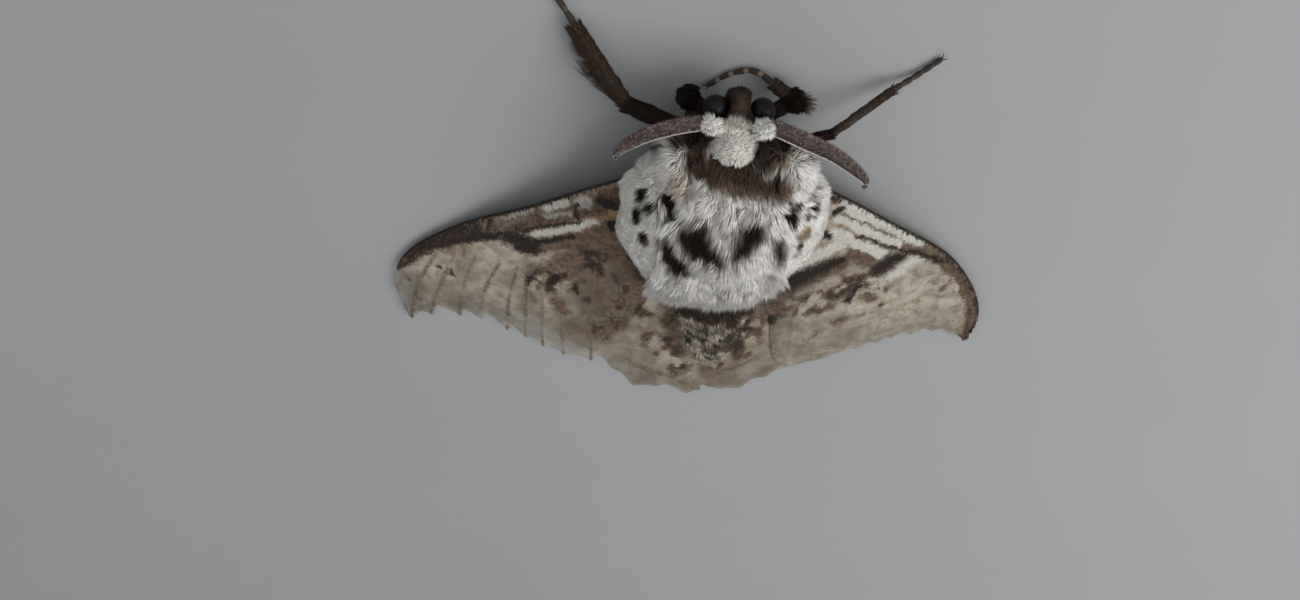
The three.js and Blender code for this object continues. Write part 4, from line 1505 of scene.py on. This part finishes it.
RIGHT_HIND = WingPlan(
    front=(
        (-4.4, -1.0), (-10.0, 6.0), (-13.8, 12.4), (-12.6, 17.4), (-9.4, 19.4), (-6.6, 21.1),
        (-4.2, 22.9), (-2.4, 22.5), (-0.7, 22.8),
    ),
    rear=((-3.0, 4.6), (-3.3, 10.0), (-2.7, 14.6), (-1.9, 17.2), (-0.9, 18.8), (-0.7, 22.4)),
    veins=(
        ((-5.4, 9.0), (-5.2, 15.0), (-4.9, 20.2)),
        ((-4.9, 9.0), (-4.1, 15.6), (-3.0, 21.2)),
        ((-7.0, 9.0), (-7.0, 14.6), (-6.7, 19.0)),
    ),
    strokes=(
        *strokes("mottle", ANY_HEIGHT,
            ((-4.8, 8.0, -4.6, 13.0, -3.8, 17.0, -2.2, 19.4), 2.0, 1.0, 0.9, 1.5),
        ),
        *strokes("brown", ANY_HEIGHT,
            ((-3.0, 8.5, -4.6, 10.0, -5.2, 12.0), 1.3, 0.6, 0.95, 0.9),
            ((-5.6, 18.2, -3.6, 19.6, -1.8, 20.8), 0.3, 0.4, 0.75),
        ),
    ),
    clear_from=0.4,
    clear_most=0.6,
    murk=0.5,
    fleck_pale=0.3,
)


@dataclass
class Wing:
    """One wing: a thin veined membrane with its scales."""

    side: Side
    kind: WingKind
    plan: WingPlan
    rows: int = 230
    columns: int = 110
    thickness: float = 0.09
    drop: float = 0.05
    vein_half: float = 0.14
    vein_rise: float = 0.04
    scales: int = 22000
    scale_flatness: float = 0.12
    sag: float = 0.3
    roll_share: float = 0.03
    roll_depth: float = 0.24
    hind_drop: float = 0.52  # how far a hindwing lies under the forewing
    lowest: float = 0.13
    kinds: tuple[str, ...] = ("brown", "pale", "dark", "mottle", "warm", "deep", "clear")

    @property
    def fore(self) -> bool:
        """Whether it is a forewing."""
        return self.kind is WingKind.FORE

    def rim(self, s: np.ndarray) -> np.ndarray:
        """Share of the way to the outer margin, for shares of the way to the rear edge."""
        return s if self.fore else 1 - s

    def plan_points(self, t: np.ndarray, s: np.ndarray) -> np.ndarray:
        """Places in plan, t along the wing and s across from the front to the rear edge.

        Args:
            t: Shares of the way along the wing.
            s: Shares of the way from its front to its rear edge.

        Returns:
            An array of x and y, one row for each place.
        """
        edges = [even_spline(self.plan.front, t), even_spline(self.plan.rear, t)]
        outer = edges[1 if self.fore else 0]
        tooth = np.zeros(len(t))
        for vein in self.plan.veins:
            gap = np.abs(outer[:, 0] - vein[-1][0])
            tooth = np.maximum(tooth, np.exp(-((gap / 0.45) ** 2)))
        near, far = self.plan.notch
        notch = (tooth - 1.0) * np.interp(np.abs(outer[:, 0]), (0, 12, 16), (near, near, far))
        outer[:, 1] += (notch - 0.12) * smoothstep(t, 0.42, 0.52) * smoothstep(t, 1.0, 0.97)
        return edges[0] + (edges[1] - edges[0]) * s[:, None]

    def vein_field(self, flat: np.ndarray) -> np.ndarray:
        """Tells how near each place is to a vein, 1 on it and 0 away from it."""
        result = np.zeros(len(flat))
        for vein in self.plan.veins:
            path = tuple(spline(vein, np.linspace(0, 1, 7)).ravel())
            line = Stroke(path, self.vein_half, soft=self.vein_half * 1.3, end=self.plan.vein_end)
            result = np.maximum(result, line.value(flat))
        return result * (0.85 + 0.6 * GRAIN.at(flat, 0.8))

    def surface(self, t: np.ndarray, s: np.ndarray) -> tuple[np.ndarray, Values]:
        """Finds the upper face and its marks.

        Args:
            t: Shares of the way along the wing.
            s: Shares of the way from its front to its rear edge.

        Returns:
            Points in millimetres, and the marks' values there.
        """
        plan = self.plan_points(t, s)
        top = wing_height(plan) - (0.0 if self.fore else self.hind_drop) - self.drop
        flat = np.column_stack([plan, np.zeros(len(plan))])
        veins = self.vein_field(flat)
        rim = self.rim(s)
        outward = smoothstep(rim, 0.3, 1.0)
        crease = GRAIN.at(flat, 0.55) * 0.24 + GRAIN.at(flat, 1.7) * 0.08
        crease = crease * (0.25 + 0.75 * outward) - self.sag * smoothstep(rim, 0.45, 1.0)
        crease -= 0.08 * outward * (1 - veins)
        roll = np.clip(1 - s / self.roll_share, 0, 1) * self.fore
        crease -= self.roll_depth * (1 - np.sqrt(1 - roll**2))
        height = np.maximum(top + veins * self.vein_rise + crease, self.lowest)
        return np.column_stack([plan, height]), self.marks(flat, veins, rim, s)

    def marks(
        self, flat: np.ndarray, veins: np.ndarray, rim: np.ndarray, s: np.ndarray
    ) -> Values:
        """Measures the wing's marks.

        Args:
            flat: Places in plan, (count, 3).
            veins: How near each is to a vein.
            rim: Share of the way to the outer margin.
            s: Share of the way from the front to the rear edge.

        Returns:
            For each kind of mark a value from 0 to 1 at each place.
        """
        shifted = flat + GRAIN.vector(flat, 1.3) * 0.45 + GRAIN.vector(flat, 3.6) * 0.26
        found = paint(self.plan.strokes, shifted, self.kinds)
        blotch = GRAIN.at(flat, 1.0) + 0.8 * GRAIN.at(flat * [1.0, 0.7, 1.0], 2.2)
        zone = found.pop("mottle")
        mottle = zone * smoothstep(blotch, -0.02, 0.1)
        fleck = smoothstep(GRAIN.at(flat * [1.0, 0.6, 1.0], 1.9), 0.12, 0.24) * 0.55
        lines = veins * self.plan.vein_tone
        found["brown"] = np.maximum.reduce([found["brown"], mottle, lines, fleck * (1 - rim)])
        flecks = zone * smoothstep(blotch, -0.12, -0.3) * self.plan.fleck_pale
        found["pale"] = np.maximum(found["pale"], flecks)
        found["dark"] = np.maximum(found["dark"], zone * smoothstep(blotch, 0.22, 0.36) * 0.7)
        found["pale"] = found["pale"] * self.plan.pale_most
        cloud = 0.5 + 1.6 * GRAIN.at(flat, 0.6)
        found["deep"] = np.maximum(found["deep"], self.plan.murk * np.clip(cloud + 0.5, 0.4, 1.6))
        if self.fore:
            end = self.plan.costa_end
            edge = smoothstep(s, 0.013, 0.005) * smoothstep(flat[:, 1], end + 0.5, end)
            found["dark"] = np.maximum(found["dark"], edge * 0.8)
        start = self.plan.clear_from
        clear = smoothstep(rim, start - 0.2, min(start + 0.3, 0.99)) * self.plan.clear_most
        clear = np.maximum(clear, found["clear"])
        cover = np.maximum.reduce([found["brown"], found["dark"], found["pale"] * 0.7, lines])
        found["clear"] = clear * (1 - smoothstep(cover, 0.35, 0.75))
        return found

    def build(self, maker: Maker) -> None:
        """Builds the membrane and its scales.

        Args:
            maker: Makes and hands over meshes.
        """
        rows, columns = self.rows, self.columns
        t, s = np.meshgrid(np.linspace(0, 1, rows), np.linspace(0, 1, columns) ** 1.2, indexing="ij")
        top, marks = self.surface(t.ravel(), s.ravel())
        low = top.copy()
        low[:, 2] -= self.thickness * (1 - 0.85 * smoothstep(self.rim(s.ravel()), 0.9, 1.0))
        count = rows * columns
        grid = np.arange(count).reshape(rows, columns)
        corners = (grid[:-1, :-1], grid[1:, :-1], grid[1:, 1:], grid[:-1, 1:])
        upper = np.stack([corner.ravel() for corner in corners], axis=1)
        border = np.concatenate([grid[:, 0], grid[-1, 1:], grid[-2::-1, -1], grid[0, -2:0:-1]])
        after = np.roll(border, -1)
        wall = np.stack([border, border + count, after + count, after], axis=1)
        quads = np.concatenate([upper, upper[:, ::-1] + count, wall])
        if self.turned(top, upper):
            quads = quads[:, ::-1]
        faces = Faces(quads.ravel(), np.full(len(quads), 4))
        values = {key: np.tile(numbers, 2) for key, numbers in marks.items()}
        name = f"{self.kind.value}_{self.side.word}"
        piece = maker.mesh(f"{name}_membrane", np.vstack([top, low]), faces, values)
        maker.finish(piece, Look.WING, self.kind.value, name)
        self.lay_scales(maker, name)

    @staticmethod
    def turned(points: np.ndarray, quads: np.ndarray) -> bool:
        """Tells whether the upper faces point down."""
        a, b, c = (points[quads[:, k]] for k in range(3))
        return float(np.cross(b - a, c - b)[:, 2].sum()) < 0

    def lay_scales(self, maker: Maker, name: str) -> None:
        """Lays rows of flat scales over the membrane.

        Args:
            maker: Makes and hands over meshes.
            name: The wing's name.
        """
        dice = np.random.default_rng(31 + len(name))
        t, s = dice.random((2, self.scales))
        here, marks = self.surface(t, s)
        cover = np.maximum.reduce([marks["brown"], marks["dark"], marks["pale"]])
        bare = smoothstep(marks["clear"], 0.1, 0.4)
        keep = dice.random(self.scales) < (0.15 + 0.9 * smoothstep(cover, 0.25, 0.7)) * (1 - bare)
        t, s, here = t[keep], s[keep], here[keep]
        marks = {key: numbers[keep] for key, numbers in marks.items()}
        ahead, _ = self.surface(t, np.clip(s + 0.02, 0, 1))
        behind, _ = self.surface(t, np.clip(s - 0.02, 0, 1))
        along = unit(ahead - behind) + (dice.random((len(t), 3)) - 0.5) * [0.5, 0.5, 0.04]
        along = unit(along)
        up = np.tile(UP, (len(t), 1))
        length = (0.2 + 0.14 * dice.random(len(t)))[:, None]
        rise = (0.006 + 0.02 * dice.random(len(t)))[:, None]
        paths = np.stack([here + up * 0.004, here + along * length + up * rise], axis=1)
        widths = (0.11 + 0.05 * dice.random(len(t)))[:, None]
        jitter = (dice.random(len(t)) - 0.5) * 0.2
        values = {key: np.clip(n + jitter * (n > 0.05), 0, 1) for key, n in marks.items()}
        values["clear"] = 0.0
        strands = Strands(paths, widths, up, self.scale_flatness)
        maker.grow(f"{name}_scales", strands, on_map(t, s), values, Look.WING, self.kind.value, False)


# ------------------------------------------------------------------ feelers, eyes, legs


@dataclass
class Antenna:
    """A comb-like feeler: a pale shaft along its rear edge and two rows of close teeth."""

    side: Side
    path: tuple[Point3, ...]
    halves: tuple[float, ...] = (0.4, 0.62, 0.68, 0.6, 0.46, 0.24, 0.05)
    teeth: int = 88
    blade_depth: float = 0.12
    rings: int = 90
    sides: int = 14

    def frame(self, t: np.ndarray) -> tuple[np.ndarray, ...]:
        """Centre, half width, forward and upward directions at places along the feeler."""
        centre = spline(self.path, t)
        half = spline([(h,) for h in self.halves], t)[:, 0]
        tangent = unit(spline(self.path, t + 1e-3) - spline(self.path, t - 1e-3))
        forward = unit(np.cross(tangent, UP)) * self.side.value
        forward = np.where(forward[:, 1:2] > 0, -forward, forward)
        up = unit(np.cross(forward, tangent))
        up = np.where(up[:, 2:3] < 0, -up, up)
        return centre, half, forward, up

    def build(self, maker: Maker) -> None:
        """Builds the feeler.

        Args:
            maker: Makes and hands over meshes.
        """
        name = f"antenna_{self.side.word}"
        t = np.linspace(0.0, 0.995, self.rings)
        centre, half, forward, up = self.frame(t)
        wide = np.maximum(half * 0.82, 0.05)[:, None, None]
        tall = np.minimum(self.blade_depth, wide * 0.6)
        angle = (np.arange(self.sides) / self.sides * TAU)[:, None]
        rings = centre[:, None] + forward[:, None] * (np.cos(angle) * wide)
        rings = rings + up[:, None] * (np.sin(angle) * tall)
        verts = np.vstack([rings.reshape(-1, 3), centre[[0, -1]]])
        faces = tube_faces(self.rings, self.sides)
        middle = self.rings // 2
        if self.inward(rings[middle], rings[middle + 1]):
            faces = flipped(faces)
        blade = maker.mesh(f"{name}_blade", verts, faces, {"pale": 0.0, "dark": 0.0})
        shaft = self.rod(maker, name, t, -0.86, 0.14, 0.095, "pale")
        line = self.rod(maker, name, t, -0.7, 0.16, 0.07, "dark")
        maker.finish(join([blade, shaft, line], f"{name}_blade"), Look.FEELER, "feeler", name)
        self.comb(maker, name)

    @staticmethod
    def inward(first: np.ndarray, second: np.ndarray) -> bool:
        """Tells whether a tube's faces between two rings point inwards."""
        normal = np.cross(second[0] - first[0], first[1] - first[0])
        return float(normal @ (first[0] - first.mean(axis=0))) < 0

    def rod(
        self, maker: Maker, name: str, t: np.ndarray, across: float, lift: float, radius: float, tone: str
    ) -> bpy.types.Object:
        """Makes a thin rod along the feeler.

        Args:
            maker: Makes meshes.
            name: The feeler's name.
            t: Places along the feeler.
            across: Where it lies across the blade, -1 at its rear edge.
            lift: How far it lies above the blade's middle.
            radius: Its radius at the root.
            tone: The mark that colours it.

        Returns:
            The rod's object.
        """
        centre, half, forward, up = self.frame(t)
        points = centre + forward * (half * across)[:, None] + up * lift
        rod = maker.tube(f"{name}_{tone}", points, radius * (1 - 0.6 * t), 8)
        put_numbers(rod.data, {key: float(key == tone) for key in ("pale", "dark")})
        return rod

    def comb(self, maker: Maker, name: str) -> None:
        """Sets both rows of teeth along the feeler.

        Args:
            maker: Makes and hands over meshes.
            name: The feeler's name.
        """
        dice = np.random.default_rng(17 + self.side.value)
        t = np.tile(np.linspace(0.03, 0.97, self.teeth), 2)
        row = np.repeat([1.0, -1.0], self.teeth)
        centre, half, forward, up = self.frame(t)
        tangent = np.tile(unit(np.gradient(centre[: self.teeth], axis=0)), (2, 1))
        reach = half * (0.94 + 0.12 * dice.random(len(t)))
        steps = []
        for share in (0.0, 0.35, 0.7, 1.0):
            bow = math.sin(math.pi * min(share + 0.15, 1.0)) * 0.1 + 0.04
            across = -0.8 + 1.85 * share
            height = row * np.minimum(self.blade_depth + bow, half * 0.55) * (1 - share**3)
            point = centre + forward * (reach * across)[:, None] + up * height[:, None]
            steps.append(point + tangent * (0.16 * share**2))
        paths = np.stack(steps, axis=1)
        widths = np.tile([0.085, 0.08, 0.06], (len(t), 1)) * (0.5 + 0.5 * half / 0.64)[:, None]
        strands = Strands(paths, widths, up * row[:, None], 0.9, sides=4)
        roots = on_map(t, np.where(row > 0, 0.3, 0.7))
        maker.grow(f"{name}_comb", strands, roots, {"pale": 0.0, "dark": 0.0}, Look.FEELER, "feeler")


def flipped(faces: Faces) -> Faces:
    """Turns every face round."""
    ends = np.cumsum(faces.sizes)
    starts = np.repeat(ends - faces.sizes, faces.sizes)
    lasts = np.repeat(ends - 1, faces.sizes)
    return Faces(faces.corners[starts + lasts - np.arange(len(starts))], faces.sizes)


@dataclass
class Eye:
    """One compound eye: a glossy ball set into the head."""

    side: Side
    radius: float = 0.84
    inset: float = 0.16

    def build(self, maker: Maker) -> None:
        """Builds the eye where the frame has it.

        Args:
            maker: Makes and hands over meshes.
        """
        low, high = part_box(f"eye_{self.side.word}")
        bpy.ops.object.select_all(action="DESELECT")
        place = (low + high) / 2 - Vector((self.side.value * self.inset * MM, 0.0, 0.0))
        bpy.ops.mesh.primitive_ico_sphere_add(subdivisions=5, radius=self.radius * MM, location=place)
        piece = bpy.context.object
        piece.name = f"eye_{self.side.word}_ball"
        bpy.ops.object.shade_smooth()
        bpy.ops.object.transform_apply(location=True, rotation=False, scale=False)
        maker.finish(piece, Look.EYE, "eye", f"eye_{self.side.word}")


@dataclass
class Leg:
    """One leg: furry thigh and shin, then a banded five-piece foot with claws."""

    name: str
    side: Side
    hip: Point3
    knee: Point3
    heel: Point3
    toes: tuple[Point3, ...]
    girth: float
    hair: float = 0.55
    plume: float = 0.0  # extra hair length on the shin's outer side
    tufts: int = 3600
    foot_radius: float = 0.24
    cap: float = 0.0  # radius of the dense tuft on the knee
    cap_shift: Point3 = (0.0, 0.0, 0.0)
    spines: int = 0
    band_tone: float = 0.45  # strength of the foot's pale rings

    @property
    def stem(self) -> str:
        """Start of the leg's piece names."""
        return f"{self.name}_{self.side.word}"

    def build(self, maker: Maker) -> None:
        """Builds the leg.

        Args:
            maker: Makes and hands over meshes.
        """
        thigh = self.limb(maker, self.hip, self.knee, (0.7, 0.75, 0.66, 0.55))
        shin = self.limb(maker, self.knee, self.heel, (0.5, 0.62, 0.56, 0.36))
        nodes = [f"{self.name}_{part}_{self.side.word}" for part in ("femur", "tibia")]
        maker.finish(join([thigh, shin], f"{self.stem}_shank"), Look.HORN, "leg_fur", *nodes)
        self.fur(maker)
        self.foot(maker)
        if self.cap:
            self.knee_cap(maker)

    def knee_cap(self, maker: Maker) -> None:
        """Sets a dense dark tuft on the knee, with stiff spines beside it.

        Args:
            maker: Makes and hands over meshes.
        """
        dice = np.random.default_rng(7 + self.side.value)
        knee = np.asarray(self.knee, float) + self.cap_shift
        count = int(1000 * self.cap * self.cap * 4)
        normals = unit(dice.normal(size=(count, 3)))
        lie = unit(np.cross(normals, [0.3, -1.0, 0.2]) + [0.0, 0.4, -0.6])
        lump = 1 + 0.5 * GRAIN.at(normals + knee, 0.75)[:, None]
        growth = Growth(
            knee + normals * self.cap * 0.7 * lump,
            normals,
            unit(lie - normals * np.sum(lie * normals, axis=1, keepdims=True)),
            length=self.cap * 0.55,
            lift=(0.7, 0.35),
            width=0.065,
            clump=0.3,
            centres=dice.choice(count, count // 25, replace=False),
        )
        strands, shade = growth.strands(dice)
        values = {"dark": 1.0, "brown": 1.0, "warm": 0.0, "shade": shade * 0.5}
        around = np.arctan2(normals[:, 0], normals[:, 1]) / TAU + 0.5
        places = np.stack([0.02 + 0.96 * around, 0.5 + 0.47 * normals[:, 2]], axis=1)
        maker.grow(f"{self.stem}_cap", strands, places, values, Look.PELT, "leg_fur")
        t = np.linspace(0, 1, 12)
        pole = knee + np.outer(np.cos(math.pi * t), [0.0, 0.0, -self.cap * 0.6])
        radii = np.sin(math.pi * np.clip(t, 0.03, 0.97)) * self.cap * 0.62
        ball = maker.tube(f"{self.stem}_knee", pole, radii, 16)
        maker.finish(ball, Look.HORN, "leg_fur")
        if self.spines:
            self.knee_spines(maker, knee, dice)

    def knee_spines(self, maker: Maker, knee: np.ndarray, dice: np.random.Generator) -> None:
        """Sets stiff spines that fan out from the knee.

        Args:
            maker: Makes and hands over meshes.
            knee: The knee's place.
            dice: Seeded random numbers.
        """
        count = self.spines
        fan = (dice.random((count, 3)) - 0.5) * [0.4, 1.3, 1.2]
        out = unit(np.array([self.side.value * 1.0, 0.05, 0.1]) + fan)
        start = knee + out * self.cap * 0.6
        reach = (0.6 + 0.65 * dice.random(count))[:, None]
        bend = np.array([0.0, 0.12, 0.1])
        paths = np.stack([start, start + out * reach * 0.5 + bend * 0.4, start + out * reach + bend], axis=1)
        widths = np.tile([0.12, 0.09], (count, 1))
        strands = Strands(paths, widths, np.tile(UP, (count, 1)), 0.9, sides=4)
        band = 0.15 + 0.55 * dice.random(count)
        places = 0.05 + 0.9 * dice.random((2, count)).T
        maker.grow(f"{self.stem}_spines", strands, places, {"band": band}, Look.HORN, "leg_fur")

    def limb(self, maker: Maker, start: Point3, end: Point3, shares: Sequence[float]) -> bpy.types.Object:
        """Makes one limb segment; shares are its radii in girths."""
        t = np.linspace(0, 1, 14)
        points = np.asarray(start) + (np.asarray(end) - np.asarray(start)) * t[:, None]
        radii = spline([(share,) for share in shares], t)[:, 0] * self.girth
        piece = maker.tube("limb", points, radii, 14)
        put_numbers(piece.data, {"band": 0.2})
        return piece

    def fur(self, maker: Maker) -> None:
        """Grows the hair of thigh and shin.

        Args:
            maker: Makes and hands over meshes.
        """
        dice = np.random.default_rng(sum(map(ord, self.name)) + self.side.value)
        count = self.tufts
        half = count // 2
        t = dice.random(count)
        hip, knee, heel = (np.asarray(p, float) for p in (self.hip, self.knee, self.heel))
        on_shin = np.arange(count) >= half
        start = np.where(on_shin[:, None], knee, hip)
        end = np.where(on_shin[:, None], heel, knee)
        along = unit(end - start)
        angle = dice.random(count) * TAU
        across = unit(np.cross(along, UP))
        up = np.cross(across, along)
        normals = across * np.cos(angle)[:, None] + up * np.sin(angle)[:, None]
        radius = np.where(on_shin, 0.6, 0.7) * self.girth
        roots = start + (end - start) * t[:, None] + normals * radius[:, None]
        aside = across * np.where(across[:, :1] * self.side.value > 0, 1.0, -1.0)
        outer = np.clip(np.sum(normals * aside, axis=1), 0, 1)
        middle = np.sin(math.pi * np.clip(t, 0.02, 0.86) / 0.88) ** 0.7
        plume = self.plume * on_shin * outer * middle * (0.25 + 1.2 * dice.random(count) ** 1.6)
        growth = Growth(
            roots,
            normals,
            along,
            length=self.hair * np.where(on_shin, 0.85, 1.0) + plume,
            lift=(0.42 + 0.38 * outer * on_shin * (self.plume > 0), 0.2),
            width=0.055,
            clump=0.08,
            centres=dice.choice(count, max(8, count // 30), replace=False),
        )
        strands, shade = growth.strands(dice)
        warm = dice.random(count) * 0.3
        dark = 0.9 - 0.55 * on_shin * (0.35 + 2.0 * warm)
        values = {"dark": dark, "brown": 1.0, "warm": warm, "shade": shade}
        places = np.stack([0.02 + 0.46 * t + 0.49 * on_shin, 0.02 + 0.96 * angle / TAU], axis=1)
        maker.grow(f"{self.stem}_hair", strands, places, values, Look.PELT, "leg_fur")

    def foot(self, maker: Maker) -> None:
        """Makes the five-piece foot, its claws and the spurs above it.

        Args:
            maker: Makes and hands over meshes.
        """
        t = np.linspace(0, 1, 76)
        points = even_spline([self.heel, *self.toes], t)
        joint = (t * 5) % 1.0
        swell = 0.72 + 0.28 * np.sin(np.pi * np.clip(joint * 1.05, 0, 1)) ** 0.6
        radii = self.foot_radius * swell * (1 - 0.22 * t)
        points[:, 2] = np.maximum(points[:, 2] - 0.03, radii * 0.98)
        piece = maker.tube(f"{self.stem}_foot", points, radii)
        along = np.empty(len(piece.data.vertices), np.float32)
        piece.data.attributes["along"].data.foreach_get("value", along)
        place = (along * 5) % 1.0
        put_numbers(piece.data, {"band": smoothstep(place, 0.42, 0.2) * self.band_tone})
        maker.finish(piece, Look.HORN, "tarsus", f"{self.name}_tarsus_{self.side.word}")
        self.claws(maker, points)

    def claws(self, maker: Maker, points: np.ndarray) -> None:
        """Sets two claws at the foot's end and two spurs at the heel.

        Args:
            maker: Makes and hands over meshes.
            points: The foot's path.
        """
        ahead = unit(points[-1] - points[-4])
        aside = unit(np.cross(ahead, UP))
        heel = np.asarray(self.heel, float)
        shin = unit(heel - np.asarray(self.knee, float))
        beside = unit(np.cross(shin, UP))
        paths, widths = [], []
        for sign in (-1.0, 1.0):
            out = ahead + aside * sign * 0.75
            start = points[-1] + aside * sign * 0.05
            tip = np.array([*(start + out * 0.3)[:2], LOWEST])
            bends = [start + out * 0.12 + [0, 0, 0.05], start + out * 0.22 + [0, 0, 0.02]]
            paths.append([start, *bends, tip])
            widths.append([0.09, 0.08, 0.055])
            spur = shin + beside * sign * 0.55 + [0.0, 0.0, 0.1]
            base = heel - shin * 0.35 + beside * sign * 0.15
            paths.append([base, base + spur * 0.25, base + spur * 0.5, base + spur * 0.75])
            widths.append([0.12, 0.1, 0.07])
        path = np.array(paths, float)
        path[..., 2] = np.maximum(path[..., 2], LOWEST)
        strands = Strands(path, np.array(widths), np.tile(UP, (len(path), 1)), 1.0, sides=6)
        places = np.stack([np.linspace(0.2, 0.8, len(path)), np.full(len(path), 0.5)], axis=1)
        maker.grow(f"{self.stem}_claws", strands, places, {"band": 0.3}, Look.HORN, "tarsus")


# ------------------------------------------------------------------ studio


@dataclass(frozen=True)
class Lamp:
    """One soft square light that faces the moth."""

    name: str
    at: Point3  # metres
    size: float
    power: float
    tint: Colour = (1.0, 1.0, 1.0)

    def build(self) -> None:
        """Adds the light."""
        data = bpy.data.lights.new(self.name, "AREA")
        data.size = self.size
        data.energy = self.power
        data.color = self.tint
        lamp = bpy.data.objects.new(self.name, data)
        bpy.context.scene.collection.objects.link(lamp)
        lamp.location = self.at
        lamp.rotation_euler = (-Vector(self.at)).to_track_quat("-Z", "Y").to_euler()


@dataclass
class Studio:
    """Floor, soft light and camera."""

    floor_size: float = 8.0
    lens: float = 36.0
    distance: float = 104.2
    azimuth: float = 5.42
    elevation: float = 45.0
    roll: float = -0.6
    target: Point3 = (3.75, 12.65, 0.0)
    sky: float = 0.6
    lamps: tuple[Lamp, ...] = (
        Lamp("key", (-0.16, -0.02, 0.18), 0.18, 0.5, (1.0, 0.995, 0.985)),
        Lamp("fill", (0.20, -0.22, 0.26), 0.4, 0.22, (0.97, 0.985, 1.0)),
    )

    def build(self, maker: Maker) -> None:
        """Builds the studio.

        Args:
            maker: Knows the datum and the floor's finish.
        """
        bpy.ops.object.select_all(action="DESELECT")
        bpy.ops.mesh.primitive_plane_add(size=self.floor_size, location=(0, 0, 0))
        floor = bpy.context.object
        floor.name = "floor"
        floor.data.materials.append(maker.materials[Look.FLOOR])
        floor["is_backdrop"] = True
        for lamp in self.lamps:
            lamp.build()
        world = bpy.data.worlds.new("soft_sky")
        world.use_nodes = True
        background = world.node_tree.nodes["Background"].inputs
        background["Color"].default_value = (0.96, 0.98, 1.0, 1.0)
        background["Strength"].default_value = self.sky
        scene = bpy.context.scene
        scene.world = world
        scene.view_settings.view_transform = "Standard"
        self.camera(maker.datum)

    def camera(self, datum: Datum) -> None:
        """Adds the camera, which looks down at the moth from ahead of it, head up in the picture.

        Args:
            datum: The moth's datum.
        """
        az, el, roll = (math.radians(a) for a in (self.azimuth, self.elevation, self.roll))
        back = Vector((math.sin(az) * math.cos(el), -math.cos(az) * math.cos(el), math.sin(el)))
        right = -(-back).cross(Vector((0, 0, 1))).normalized()
        up = -(-right).cross(-back)
        turned_right = right * math.cos(roll) + up * math.sin(roll)
        turned_up = up * math.cos(roll) - right * math.sin(roll)
        place = Vector(datum.metres(np.array(self.target))) + back * self.distance * MM
        data = bpy.data.cameras.new("camera")
        data.lens = self.lens
        data.sensor_width = 36.0
        data.clip_start = 0.001
        camera = bpy.data.objects.new("camera", data)
        facing = Matrix((turned_right, turned_up, back)).transposed().to_4x4()
        camera.matrix_world = Matrix.Translation(place) @ facing
        bpy.context.scene.collection.objects.link(camera)
        bpy.context.scene.camera = camera


# ------------------------------------------------------------------ the moth


LEGS: tuple[Leg, ...] = (
    Leg(
        "foreleg",
        Side.LEFT,
        (1.2, -7.6, 2.7),
        (3.0, -9.0, 2.2),
        (2.5, -7.6, 0.95),
        ((2.9, -5.6, 0.28), (3.4, -3.2, 0.26)),
        0.66,
        cap=0.88,
        cap_shift=(0.1, 0.0, 0.0),
    ),
    Leg(
        "foreleg",
        Side.RIGHT,
        (-1.4, -7.6, 2.7),
        (-4.2, -9.1, 1.95),
        (-2.75, -9.75, 1.25),
        ((-1.4, -10.25, 0.55), (0.2, -9.75, 0.28), (1.7, -8.6, 0.26)),
        0.66,
        cap=0.9,
        cap_shift=(0.05, 0.1, 0.0),
        spines=80,
        band_tone=0.85,
    ),
    Leg(
        "midleg",
        Side.LEFT,
        (3.0, -6.6, 2.7),
        (7.15, -8.2, 2.45),
        (10.9, -13.05, 0.85),
        ((12.4, -15.0, 0.32), (14.7, -17.4, 0.26)),
        0.72,
        plume=1.35,
        tufts=8000,
    ),
    Leg(
        "midleg",
        Side.RIGHT,
        (-3.2, -5.6, 2.7),
        (-6.95, -7.1, 2.8),
        (-10.9, -9.8, 1.0),
        ((-12.4, -10.7, 0.42), (-13.9, -12.1, 0.26)),
        0.46,
        hair=0.42,
        cap=0.42,
    ),
    *(
        Leg(
            "hindleg",
            side,
            (2.6 * side.value, 0.6, 2.0),
            (5.9 * side.value, 2.4, 1.75),
            (8.9 * side.value, 6.2, 0.8),
            ((9.8 * side.value, 8.0, 0.28), (10.5 * side.value, 9.6, 0.26)),
            0.5,
            tufts=1500,
        )
        for side in Side
    ),
)

FEELERS: tuple[Antenna, ...] = (
    Antenna(
        Side.LEFT,
        (
            (1.6, -10.2, 6.3),
            (2.6, -10.12, 6.4),
            (4.04, -9.75, 6.4),
            (5.82, -8.85, 6.3),
            (7.1, -7.72, 6.1),
            (7.72, -6.8, 5.9),
            (7.6, -6.1, 5.7),
        ),
    ),
    Antenna(
        Side.RIGHT,
        (
            (-1.5, -10.25, 6.3),
            (-2.5, -10.2, 6.6),
            (-4.46, -9.5, 6.8),
            (-6.51, -8.4, 6.6),
            (-8.25, -6.98, 6.3),
            (-9.25, -5.8, 6.0),
            (-9.2, -5.0, 5.8),
        ),
    ),
)


def main() -> None:
    """Builds the moth around its frame, then the studio."""
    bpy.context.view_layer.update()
    maker = Maker()
    skin = Skin().build(maker)
    Coat().build(maker, skin)
    for side, plan in ((Side.LEFT, LEFT_FORE), (Side.RIGHT, RIGHT_FORE)):
        Wing(side, WingKind.FORE, plan).build(maker)
    for side, plan in ((Side.LEFT, LEFT_HIND), (Side.RIGHT, RIGHT_HIND)):
        Wing(side, WingKind.HIND, plan, rows=110, columns=50, scales=5000).build(maker)
    for antenna in FEELERS:
        antenna.build(maker)
    for side in Side:
        Eye(side).build(maker)
    for leg in LEGS:
        leg.build(maker)
    Studio().build(maker)
    meshes = [piece.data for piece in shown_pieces() if piece.type == "MESH"]
    total = sum(len(mesh.loop_triangles) or len(mesh.polygons) for mesh in meshes)
    LOG.info("faces in all: %d", total)


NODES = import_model()["nodes"]

if __name__ == "__main__":
    main()
